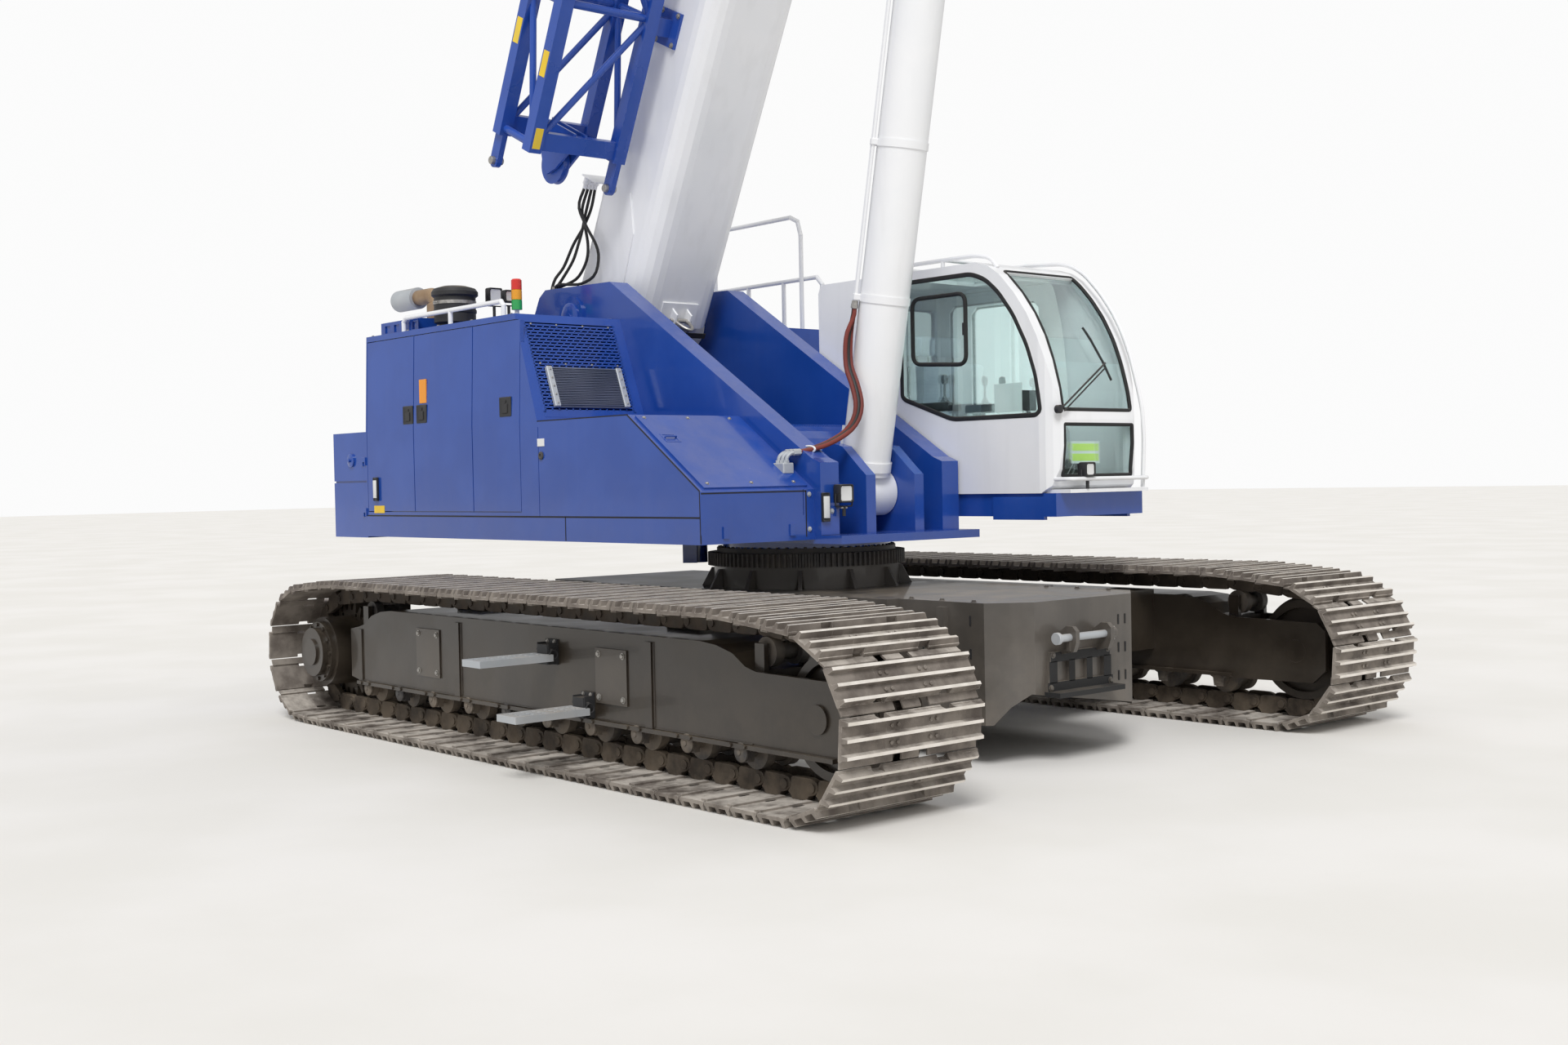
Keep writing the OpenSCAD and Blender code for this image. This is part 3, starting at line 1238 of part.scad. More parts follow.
module luff_barrel() {
    gland_r = barrel_r + 14;
    color(boom_white) on_luff() {
        difference() {
            union() {
                translate([120, 0, 0]) rotate([0, 90, 0]) cylinder(r = barrel_r, h = barrel_l - 120,
                    $fn = 64);
                translate([barrel_l - gland_l - 40, 0, 0]) rotate([0, 90, 0]) cylinder(r = gland_r,
                    h = gland_l + 40, $fn = 64);
                translate([150, 0, 0]) rotate([0, 90, 0]) cylinder(r = gland_r - 4, h = 60, $fn = 64);
                rod_y(0, 0, 150, -165, 165);
                block(260, 400, -45, 45, barrel_r - 20, barrel_r + 50);
                block(barrel_l - 320, barrel_l - 220, -35, 35, barrel_r - 20, barrel_r + 40);
            }
            translate([bore_start, 0, 0]) rotate([0, 90, 0]) cylinder(r = bore_r,
                h = barrel_l - gland_l - bore_start, $fn = 64);
            translate([bore_start, 0, 0]) rotate([0, 90, 0]) cylinder(r = rod_r + seat, h = barrel_l,
                $fn = 64);
            rod_y(0, 0, luff_pin_r, -200, 200);
        }
    }
}

module luff_rod() {
    eye_r = 140;
    piston = 80;
    color(light_grey) on_luff() difference() {
        union() {
            translate([luff_l - rod_l, 0, 0]) rotate([0, 90, 0]) cylinder(r = rod_r, h = rod_l - 60,
                $fn = 64);
            translate([luff_l - rod_l, 0, 0]) rotate([0, 90, 0]) cylinder(r = bore_r - seat, h = piston,
                $fn = 64);
            translate([luff_l - eye_r - 12, 0, 0]) rotate([0, 90, 0]) cylinder(r1 = rod_r,
                r2 = eye_r - 10, h = 70, $fn = 64);
            rod_y(luff_l, 0, eye_r, -fork_in + clear, fork_in - clear);
        }
        rod_y(luff_l, 0, luff_pin_r, -fork_in, fork_in);
    }
}

module hook_block() {
    tip_u = base_l + 4 * section_out + 330;
    head = [-foot_back + tip_u * cos(boom_angle) + 200 * sin(boom_angle),
        foot_z + tip_u * sin(boom_angle) - 200 * cos(boom_angle)];
    rope_r = 12;
    fall_x = head[0] + sheave_r - 14 + rope_r + seat;
    drop = 1700;
    block_r = 150;
    // How far ahead of the head pin the block hangs
    hang = 220;
    plate_w = block_r - 15;
    mid_x = head[0] + hang;
    mid_z = head[1] - drop - 60;
    hook_z = mid_z - block_r - 230;
    bowl_r = 95;
    bar_r = 42;
    color("gold") placed() {
        for (y = [-95, 65]) strut([fall_x, y, head[1]], [mid_x + block_r - 14 + rope_r + 1, y, mid_z],
            rope_r, 16);
        for (y = [-140, -25, 90]) across(y, y + 30) polygon([[mid_x - plate_w, mid_z + 110], [mid_x - 90,
            mid_z + 190],
            [mid_x + 90, mid_z + 190], [mid_x + plate_w, mid_z + 110], [mid_x + 120, mid_z - 230],
                [mid_x - 120, mid_z - 230]]);
        for (y = [-95, 65]) sheave(mid_x, mid_z, block_r, y, 50);
        rod_y(mid_x, mid_z, 45, -155, 135);
        block(mid_x - 110, mid_x + 110, -140, 120, mid_z - 230, mid_z - 170);
        translate([mid_x, -10, hook_z + 60]) cylinder(r = 50, h = mid_z - hook_z - 250, $fn = 32);
        translate([mid_x, -10, hook_z - 30]) cylinder(r = 40, h = 120, $fn = 32);
        translate([mid_x, -10, hook_z - bowl_r - 10]) rotate([90, 0, 0]) rotate_extrude(angle = -255,
            $fn = 48)
            translate([bowl_r, 0]) circle(r = bar_r, $fn = 24);
    }
}

carbody();
axle_sleeves();
slew_ring();
side_frame(false);  // frame_right
side_frame(true);  // frame_left
track(false);  // track_right
track(true);  // track_left
sprocket(false);  // sprocket_right
sprocket(true);  // sprocket_left
idler(false);  // idler_right
idler(true);  // idler_left
rollers(false);  // rollers_right
rollers(true);  // rollers_left
steps(false);  // steps_right
steps(true);  // steps_left
turntable();
deck();
hood();
grille();
engine();
left_housing();
counterweight();
air_cleaner();
exhaust();
handrails();
tower_light();
drum(drum_main_x);  // drum_main
drum(drum_aux_x);  // drum_aux
hood_door(2);  // hood_door_front
hood_door(1);  // hood_door_mid
hood_door(0);  // hood_door_rear
cab_shell();
cab_glass();
cab_seat();
cab_door();
door_glass();
boom_base();
boom_section(1);  // boom_2
boom_section(2);  // boom_3
boom_section(3);  // boom_4
boom_tip();
jib();
luff_barrel();
luff_rod();
hook_block();
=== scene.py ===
"""Dresses the telescopic-boom crawler crane for pictures.

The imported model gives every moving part. This script gives each node its finish, puts detailed
track chains in place of the plain ones and adds the fittings: bolts, latches, lamps, seals,
hoses and rails. Lengths are metres. Points written x, y, z are measured from the slew axis.
"""

import json
import logging
import math
from collections.abc import Iterable
from dataclasses import dataclass
from enum import Enum
from functools import cache
from itertools import product

import bmesh
import bpy
from mathutils import Matrix, Vector

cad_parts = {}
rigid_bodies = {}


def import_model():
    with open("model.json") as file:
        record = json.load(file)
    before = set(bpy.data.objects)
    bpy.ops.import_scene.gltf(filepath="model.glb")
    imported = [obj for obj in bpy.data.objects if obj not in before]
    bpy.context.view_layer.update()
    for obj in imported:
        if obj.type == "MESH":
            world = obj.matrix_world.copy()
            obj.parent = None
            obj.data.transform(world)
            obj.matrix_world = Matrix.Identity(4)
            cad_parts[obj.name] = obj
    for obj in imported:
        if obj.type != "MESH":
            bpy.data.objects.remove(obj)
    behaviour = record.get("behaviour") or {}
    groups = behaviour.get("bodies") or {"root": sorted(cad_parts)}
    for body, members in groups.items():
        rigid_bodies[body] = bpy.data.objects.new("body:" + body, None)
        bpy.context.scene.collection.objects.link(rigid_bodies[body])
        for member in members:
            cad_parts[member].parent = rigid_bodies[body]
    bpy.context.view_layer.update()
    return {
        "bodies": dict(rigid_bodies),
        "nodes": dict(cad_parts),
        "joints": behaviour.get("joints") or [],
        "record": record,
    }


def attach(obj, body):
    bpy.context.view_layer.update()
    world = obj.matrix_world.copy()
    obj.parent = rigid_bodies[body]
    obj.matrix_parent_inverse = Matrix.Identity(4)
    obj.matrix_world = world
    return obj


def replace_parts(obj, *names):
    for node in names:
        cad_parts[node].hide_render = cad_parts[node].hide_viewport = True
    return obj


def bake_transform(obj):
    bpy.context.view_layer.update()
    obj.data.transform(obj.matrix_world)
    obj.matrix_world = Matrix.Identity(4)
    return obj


Point = tuple[float, float, float] | Vector
Colour = tuple[float, float, float]
Outline = list[tuple[float, float]]
Piece = bpy.types.Object
Socket = bpy.types.NodeSocket
Tree = bpy.types.NodeTree
log = logging.getLogger("crane")

SLEW_X = 0.14
FOOT = Vector((-1.8 + SLEW_X, 0.0, 2.78))
BOOM_ANGLE = math.radians(64)
BOOM_LENGTH = 10.3
STEP_OUT = 0.16
LUFF_PIN = Vector((0.55 + SLEW_X, 0.0, 1.5))
LUFF_LEAN = math.radians(79)
LUFF_LENGTH = 6.4
PIPE_TURNS = tuple(math.radians(38 + 11 * k) for k in range(3))
UPPER_Y = 1.47
HOOD_TOP = 2.72
HOOD_LEAN = math.radians(21.3)
CREASE_Z = 2.0
CAB_Y = 0.62
STEPS = ((0.29, 0.6), (0.64, 0.33))
FACING = 0.9
POLE = 1e-4


class Body(Enum):
    """Moving bodies that new pieces ride on."""

    CARBODY = "carbody"
    SIDE_RIGHT = "side_right"
    SIDE_LEFT = "side_left"
    UPPER = "upper"
    DOOR_REAR = "hood_door_rear"
    DOOR_MID = "hood_door_mid"
    DOOR_FRONT = "hood_door_front"
    CAB = "cab"
    CAB_DOOR = "cab_door"
    BOOM = "boom"
    BOOM_2 = "boom_2"
    BOOM_3 = "boom_3"
    BOOM_4 = "boom_4"
    BOOM_TIP = "boom_tip"
    BARREL = "luff_barrel"
    HOOK = "hook"


class Axis(Enum):
    """Direction that a disc, bolt or profile faces."""

    X = (1.0, 0.0, 0.0)
    Y = (0.0, 1.0, 0.0)
    Z = (0.0, 0.0, 1.0)
    MINUS_X = (-1.0, 0.0, 0.0)
    MINUS_Y = (0.0, -1.0, 0.0)
    MINUS_Z = (0.0, 0.0, -1.0)


def outward(side: int) -> Axis:
    """Direction away from the middle, for side -1 on the right or 1 on the left."""
    return Axis.MINUS_Y if side < 0 else Axis.Y


def at(x: float, y: float, z: float) -> Vector:
    """Turns a point measured from the slew axis into the row frame."""
    return Vector((x + SLEW_X, y, z))


def tilted(origin: Vector, angle: float) -> Matrix:
    """Frame whose x axis leans up by an angle and whose z axis points back from it."""
    return Matrix.Translation(origin) @ Matrix.Rotation(-angle, 4, "Y")


def circle(count: int) -> list[tuple[float, float]]:
    """Cosine and sine at even steps round a full circle."""
    return [(math.cos(k * math.tau / count), math.sin(k * math.tau / count)) for k in range(count)]


BOOM_FRAME = tilted(FOOT, BOOM_ANGLE)
LUFF_FRAME = tilted(LUFF_PIN, LUFF_LEAN)
MACHINE = Matrix.Translation((SLEW_X, 0, 0))
MIRROR_Y = Matrix.Scale(-1, 4, (0, 1, 0))


# Modelling by hand


def rest() -> None:
    """Leaves edit mode and drops the selection."""
    if bpy.context.object and bpy.context.object.mode != "OBJECT":
        bpy.ops.object.mode_set(mode="OBJECT")
    bpy.ops.object.select_all(action="DESELECT")


def edit(obj: Piece, every: bool = True) -> None:
    """Opens one mesh in edit mode.

    Args:
        obj: the mesh object.
        every: whether all of its faces are selected, or none.
    """
    rest()
    bpy.context.view_layer.objects.active = obj
    obj.select_set(True)
    bpy.ops.object.mode_set(mode="EDIT")
    bpy.ops.mesh.select_mode(type="FACE")
    bpy.ops.mesh.select_all(action="SELECT" if every else "DESELECT")


def pick_faces(obj: Piece, way: Axis) -> None:
    """Selects the faces that look one way, in edit mode.

    Args:
        obj: the mesh object in edit mode.
        way: the direction.
    """
    mesh = bmesh.from_edit_mesh(obj.data)
    for face in mesh.faces:
        face.select_set(face.normal.dot(Vector(way.value)) > FACING)
    bmesh.update_edit_mesh(obj.data)


def sunk(obj: Piece, way: Axis, thickness: float, depth: float) -> Piece:
    """Insets the faces that look one way and sinks them.

    Args:
        obj: the piece.
        way: direction of the faces.
        thickness: width of the rim that stays.
        depth: how far the faces move, negative inwards.

    Returns:
        The same piece.
    """
    edit(obj, every=False)
    pick_faces(obj, way)
    bpy.ops.mesh.inset(thickness=thickness, depth=depth)
    rest()
    return obj


def face_out() -> None:
    """Turns the faces of the mesh in edit mode outwards."""
    bpy.ops.mesh.select_all(action="SELECT")
    bpy.ops.mesh.normals_make_consistent(inside=False)


def flipped(obj: Piece) -> None:
    """Turns every face of a mirrored piece round.

    Args:
        obj: the piece.
    """
    edit(obj)
    bpy.ops.mesh.flip_normals()
    rest()


def settle(obj: Piece, frame: Matrix | None = None) -> None:
    """Puts a piece's place into its mesh and leaves its object at the origin.

    Args:
        obj: the mesh object.
        frame: frame that the piece was modelled in, if not the row frame.
    """
    rest()
    obj.data.transform((frame or Matrix.Identity(4)) @ obj.matrix_world)
    obj.matrix_world = Matrix.Identity(4)


def stood(obj: Piece, base: Point, run: Vector) -> Piece:
    """Moves a shape that was modelled along z to a point and turns it along a run.

    Args:
        obj: the piece.
        base: where its origin goes.
        run: direction that its z axis takes.

    Returns:
        The same piece.
    """
    obj.data.transform(Matrix.Translation(Vector(base)) @ run.to_track_quat("Z", "Y").to_matrix().to_4x4())
    return obj


def block(low: Point, high: Point, bevel: float = 0.004, segments: int = 1) -> Piece:
    """Box between two corners with bevelled edges.

    Args:
        low: lowest corner.
        high: highest corner.
        bevel: width of the bevel.
        segments: steps round the bevel.

    Returns:
        The new object.
    """
    rest()
    a, b = Vector(low), Vector(high)
    bpy.ops.mesh.primitive_cube_add(size=1, location=(a + b) / 2)
    obj = bpy.context.object
    obj.scale = b - a
    bpy.ops.object.transform_apply()
    if bevel:
        edit(obj)
        bpy.ops.mesh.bevel(offset=min(bevel, min(b - a) * 0.45), segments=segments, affect="EDGES")
        rest()
    return obj


def rod(a: Point, b: Point, radius: float, sides: int = 16, bevel: float = 0.0) -> Piece:
    """Round bar from one point to another, its rims bevelled.

    Args:
        a: first end.
        b: other end.
        radius: its radius.
        sides: number of sides.
        bevel: width of the rims' bevel.

    Returns:
        The new object.
    """
    rest()
    start, end = Vector(a), Vector(b)
    run = end - start
    bpy.ops.mesh.primitive_cylinder_add(vertices=sides, radius=radius, depth=run.length)
    obj = bpy.context.object
    if bevel:
        edit(obj)
        for way in (Axis.Z, Axis.MINUS_Z):
            pick_faces(obj, way)
            bpy.ops.mesh.inset(thickness=bevel)
            bpy.ops.transform.translate(value=Vector(way.value) * bevel)
        rest()
        obj.data.transform(Matrix.Scale(run.length / (run.length + 2 * bevel), 4, (0, 0, 1)))
    return stood(obj, (start + end) / 2, run)


def turned(profile: Outline, base: Point, way: Axis, sides: int = 32) -> Piece:
    """Turned shape: a circle that is extruded and resized step by step.

    Args:
        profile: radius and height of each step, from the base up.
        base: middle of the base.
        way: direction that it stands.
        sides: number of sides.

    Returns:
        The new object.
    """
    rest()
    radius, height = profile[0]
    bpy.ops.mesh.primitive_circle_add(
        vertices=sides, radius=max(radius, POLE), fill_type="NGON", location=(0, 0, height))
    obj = bpy.context.object
    bpy.ops.object.transform_apply()
    edit(obj)
    for new_radius, new_height in profile[1:]:
        bpy.ops.mesh.extrude_region_move(TRANSFORM_OT_translate={"value": (0, 0, new_height - height)})
        factor = max(new_radius, POLE) / max(radius, POLE)
        bpy.ops.transform.resize(value=(factor, factor, 1), center_override=(0, 0, new_height))
        radius, height = new_radius, new_height
    face_out()
    rest()
    return stood(obj, base, Vector(way.value))


def hoop(radius: float, width: float, thickness: float, base: Point, way: Axis, sides: int = 40) -> Piece:
    """Open band round a pipe: a cylinder's wall that gets a thickness.

    Args:
        radius: its inner radius.
        width: its width along the pipe.
        thickness: thickness of its wall.
        base: middle of its first edge.
        way: direction of the pipe.
        sides: number of sides.

    Returns:
        The new object.
    """
    rest()
    bpy.ops.mesh.primitive_cylinder_add(
        vertices=sides, radius=radius, depth=width, end_fill_type="NOTHING", location=(0, 0, width / 2))
    obj = bpy.context.object
    bpy.ops.object.transform_apply()
    wall = obj.modifiers.new("wall", "SOLIDIFY")
    wall.thickness, wall.offset = thickness, 1.0
    bpy.ops.object.modifier_apply(modifier=wall.name)
    return stood(obj, base, Vector(way.value))


def plate(outline: Outline, start: float, depth: float, bevel: float = 0.0) -> Piece:
    """Flat plate with an x-z outline, extruded along y.

    Args:
        outline: points as x, z.
        start: y of its first face.
        depth: thickness along +y.
        bevel: width of the bevel on its edges.

    Returns:
        The new object.
    """
    rest()
    bpy.ops.mesh.primitive_circle_add(vertices=len(outline), radius=1, fill_type="NGON")
    obj = bpy.context.object
    for vertex, (x, z) in zip(obj.data.vertices, outline):
        vertex.co = (x, start, z)
    edit(obj)
    bpy.ops.mesh.extrude_region_move(TRANSFORM_OT_translate={"value": (0, depth, 0)})
    face_out()
    if bevel:
        bpy.ops.mesh.bevel(offset=bevel, segments=1, affect="EDGES")
    rest()
    return obj


def rounded(points: Iterable[Point], radius: float, steps: int = 5, closed: bool = False) -> list[Vector]:
    """Rounds the corners of a path.

    Args:
        points: corners of the path.
        radius: how far from each corner the bend starts.
        steps: points round each bend.
        closed: whether the path runs back to its start.

    Returns:
        The path's points.
    """
    corners = [Vector(point) for point in points]
    count = len(corners)
    path: list[Vector] = []
    for i, corner in enumerate(corners):
        if not closed and i in (0, count - 1):
            path.append(corner)
            continue
        back, ahead = corners[i - 1] - corner, corners[(i + 1) % count] - corner
        reach = min(radius, back.length * 0.45, ahead.length * 0.45)
        a, b = corner + back.normalized() * reach, corner + ahead.normalized() * reach
        for k in range(steps + 1):
            t = k / steps
            path.append(a.lerp(corner, t).lerp(corner.lerp(b, t), t))
    return path


def tube(path: list[Point], radius: float, closed: bool = False, sides: int = 3) -> Piece:
    """Round tube along a path, as a mesh with its faces turned outwards.

    Args:
        path: points of its centreline.
        radius: its radius.
        closed: whether it is a ring.
        sides: resolution of its section.

    Returns:
        The mesh object.
    """
    rest()
    bpy.ops.curve.primitive_bezier_curve_add(location=(0, 0, 0))
    obj = bpy.context.object
    data = obj.data
    data.splines.clear()
    spline = data.splines.new("POLY")
    spline.points.add(len(path) - 1)
    for target, point in zip(spline.points, path):
        target.co = (*point, 1)
    spline.use_cyclic_u = closed
    data.dimensions = "3D"
    data.bevel_depth = radius
    data.bevel_resolution = sides
    data.use_fill_caps = not closed
    obj.select_set(True)
    bpy.ops.object.convert(target="MESH")
    obj = bpy.context.object
    edit(obj)
    bpy.ops.mesh.remove_doubles(threshold=1e-5)
    face_out()
    rest()
    return obj


def copied(obj: Piece, move: Matrix) -> Piece:
    """Copies a piece, with its own mesh, to another place.

    Args:
        obj: the piece.
        move: how the copy moves.

    Returns:
        The copy.
    """
    twin = obj.copy()
    twin.data = obj.data.copy()
    twin.data.transform(move)
    bpy.context.collection.objects.link(twin)
    return twin


def repeated(obj: Piece, moves: Iterable[Matrix]) -> list[Piece]:
    """Copies a piece to each place and removes the piece itself.

    Args:
        obj: the piece.
        moves: how each copy moves.

    Returns:
        The copies.
    """
    copies = [copied(obj, move) for move in moves]
    bpy.data.objects.remove(obj)
    return copies


def raised(height: float, count: int) -> list[Matrix]:
    """Moves that stack copies at an even height, the first where it is."""
    return [Matrix.Translation((0, 0, height * k)) for k in range(count)]


def joined(name: str, parts: list[Piece]) -> Piece:
    """Joins pieces into one.

    Args:
        name: name of the whole.
        parts: the pieces.

    Returns:
        The joined object.
    """
    rest()
    for part in parts:
        part.select_set(True)
    bpy.context.view_layer.objects.active = parts[0]
    if len(parts) > 1:
        bpy.ops.object.join()
    whole = bpy.context.object
    whole.name = name
    return whole


def dressed(
    obj: Piece, body: Body, finish: "Finish | None", frame: Matrix | None = None, smooth: float = 35.0,
) -> Piece:
    """Finishes a piece: place, shading, material and body.

    Args:
        obj: the piece.
        body: body that it rides on.
        finish: its finish, or None where it has its materials already.
        frame: frame that it was modelled in.
        smooth: angle below which its edges shade smooth, in degrees.

    Returns:
        The same object.
    """
    settle(obj, frame)
    obj.select_set(True)
    bpy.context.view_layer.objects.active = obj
    bpy.ops.object.shade_smooth_by_angle(angle=math.radians(smooth))
    if finish:
        obj.data.materials.clear()
        obj.data.materials.append(finish.material())
    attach(obj, body.value)
    log.info("%s rides on %s, %d faces", obj.name, body.value, len(obj.data.polygons))
    return obj


def bolts(name: str, places: Iterable[Point], way: Axis, size: float = 0.012, washer: bool = True) -> Piece:
    """Hexagon bolt heads with washers, modelled once and copied to each place.

    Args:
        name: name of the set.
        places: points on the surface, in the frame that the caller uses.
        way: direction that the heads face.
        size: radius of a head across its corners.
        washer: whether a washer lies under each head.

    Returns:
        The set as one object.
    """
    head = turned([(size, 0), (size, size * 0.75), (size * 0.8, size * 0.9)], (0, 0, 0), way, 6)
    if washer:
        ring = turned([(size * 1.45, -size * 0.1), (size * 1.45, size * 0.2)], (0, 0, 0), way, 12)
        head = joined("bolt_head", [head, ring])
    return joined(name, repeated(head, (Matrix.Translation(Vector(place)) for place in places)))


# Shader node groups


class Graph:
    """Short hand for laying nodes into a material or a node group."""

    def __init__(self, tree: Tree) -> None:
        """Keeps the tree that nodes go into."""
        self.tree = tree

    def give(self, value: object, socket: Socket) -> None:
        """Links an output to an input, or sets the input to a plain value.

        Args:
            value: the output or the plain value.
            socket: the input.
        """
        if isinstance(value, Socket):
            self.tree.links.new(value, socket)
        else:
            socket.default_value = value

    def add(self, kind: str, sources: dict | None = None, **settings: object) -> bpy.types.Node:
        """Adds a node and links or sets its inputs.

        Args:
            kind: the node's type name, without the word ShaderNode.
            sources: a socket or a plain value for each named or numbered input.
            settings: the node's own properties.

        Returns:
            The node.
        """
        node = self.tree.nodes.new(f"ShaderNode{kind}")
        for key, value in settings.items():
            setattr(node, key, value)
        for key, value in (sources or {}).items():
            self.give(value, node.inputs[key])
        return node

    def math(self, operation: str, a: object, b: object) -> Socket:
        """Adds a clamped Math node and gives its output."""
        return self.add("Math", {0: a, 1: b}, operation=operation, use_clamp=True).outputs[0]

    def noise(self, vector: object, scale: object, detail: float, **more: float) -> Socket:
        """Adds a Noise Texture node and gives its value."""
        return self.add("TexNoise", {"Vector": vector, "Scale": scale, "Detail": detail, **more}).outputs[0]

    def ramp(self, value: object, low: float, high: float, out_low: float = 0.0, out_high: float = 1.0) -> Socket:
        """Adds a smooth Map Range node.

        Args:
            value: its input.
            low: input that gives out_low.
            high: input that gives out_high.
            out_low: lowest result.
            out_high: highest result.

        Returns:
            Its output.
        """
        sources = {"Value": value, "From Min": low, "From Max": high, "To Min": out_low, "To Max": out_high}
        return self.add("MapRange", sources, interpolation_type="SMOOTHSTEP").outputs["Result"]

    def mix(self, mask: Socket, a: object, b: object) -> Socket:
        """Adds a colour Mix node.

        Args:
            mask: share of the second colour.
            a: first colour.
            b: second colour.

        Returns:
            The mixed colour.
        """
        node = self.add("Mix", data_type="RGBA")
        self.give(mask, node.inputs[0])
        for index, value in ((6, a), (7, b)):
            self.give(value if isinstance(value, Socket) else (*value, 1.0), node.inputs[index])
        return node.outputs[2]


class Effects:
    """Node groups that several finishes share, each built once."""

    @staticmethod
    def group(name: str, inputs: dict[str, float], outputs: list[str]) -> tuple[Graph, object, object]:
        """Starts a node group.

        Args:
            name: the group's name.
            inputs: each number input with its default.
            outputs: names of its outputs.

        Returns:
            Its graph, the sockets that it is given and the sockets that it puts out.
        """
        tree = bpy.data.node_groups.new(name, "ShaderNodeTree")
        tree.interface.new_socket("Vector", in_out="INPUT", socket_type="NodeSocketVector")
        for key, value in inputs.items():
            tree.interface.new_socket(key, in_out="INPUT", socket_type="NodeSocketFloat").default_value = value
        for key in outputs:
            tree.interface.new_socket(key, in_out="OUTPUT", socket_type="NodeSocketFloat")
        return Graph(tree), tree.nodes.new("NodeGroupInput").outputs, tree.nodes.new("NodeGroupOutput").inputs

    @staticmethod
    @cache
    def mottle() -> Tree:
        """Makes soft uneven patches: a mask and a fine height.

        Returns:
            The node group.
        """
        graph, given, out = Effects.group("Mottle", {"Scale": 3.0, "Grain": 60.0}, ["Mask", "Height"])
        wide = graph.noise(given["Vector"], given["Scale"], 5.0)
        fine = graph.noise(given["Vector"], given["Grain"], 3.0)
        graph.give(graph.ramp(wide, 0.35, 0.68), out["Mask"])
        graph.give(fine, out["Height"])
        return graph.tree

    @staticmethod
    @cache
    def edge_wear() -> Tree:
        """Makes bare or chipped edges, found where the rounded normal leaves the flat one.

        Returns:
            The node group.
        """
        graph, given, out = Effects.group("EdgeWear", {"Width": 0.006, "Break Scale": 25.0, "Amount": 0.5}, ["Mask"])
        soft = graph.add("Bevel", {"Radius": given["Width"]}, samples=4)
        flat = graph.add("NewGeometry")
        same = graph.add("VectorMath", {0: soft.outputs[0], 1: flat.outputs["Normal"]}, operation="DOT_PRODUCT")
        edge = graph.ramp(same.outputs["Value"], 0.995, 0.86)
        broken = graph.ramp(graph.noise(given["Vector"], given["Break Scale"], 6.0), 0.42, 0.62)
        graph.give(graph.math("MULTIPLY", graph.math("MULTIPLY", edge, broken), given["Amount"]), out["Mask"])
        return graph.tree

    @staticmethod
    @cache
    def dust() -> Tree:
        """Makes dust thrown up from the ground and dust lying on faces that look up.

        Returns:
            The node group.
        """
        inputs = {"Top": 1.2, "Low Amount": 0.4, "Lying Amount": 0.3, "Scale": 4.0}
        graph, given, out = Effects.group("Dust", inputs, ["Mask"])
        place = graph.add("SeparateXYZ", {0: given["Vector"]})
        share = graph.math("DIVIDE", place.outputs["Z"], given["Top"])
        low = graph.math("SUBTRACT", 1.0, share)
        patch = graph.ramp(graph.noise(given["Vector"], given["Scale"], 8.0, Roughness=0.65), 0.32, 0.66)
        facing = graph.add("SeparateXYZ", {0: graph.add("NewGeometry").outputs["Normal"]})
        up = graph.ramp(facing.outputs["Z"], 0.55, 0.95)
        thrown = graph.math("MULTIPLY", graph.math("MULTIPLY", low, patch), given["Low Amount"])
        lying = graph.math("MULTIPLY", graph.math("MULTIPLY", up, patch), given["Lying Amount"])
        graph.give(graph.math("ADD", thrown, lying), out["Mask"])
        return graph.tree

    @staticmethod
    @cache
    def streaks() -> Tree:
        """Makes the faint upright runs that rain leaves on a side.

        Returns:
            The node group.
        """
        graph, given, out = Effects.group("Streaks", {"Scale": 9.0, "Amount": 0.2}, ["Mask"])
        long = graph.add("Mapping", {"Vector": given["Vector"], "Scale": (1.0, 1.0, 0.07)})
        runs = graph.ramp(graph.noise(long.outputs[0], given["Scale"], 4.0), 0.5, 0.72)
        graph.give(graph.math("MULTIPLY", runs, given["Amount"]), out["Mask"])
        return graph.tree


# Finishes


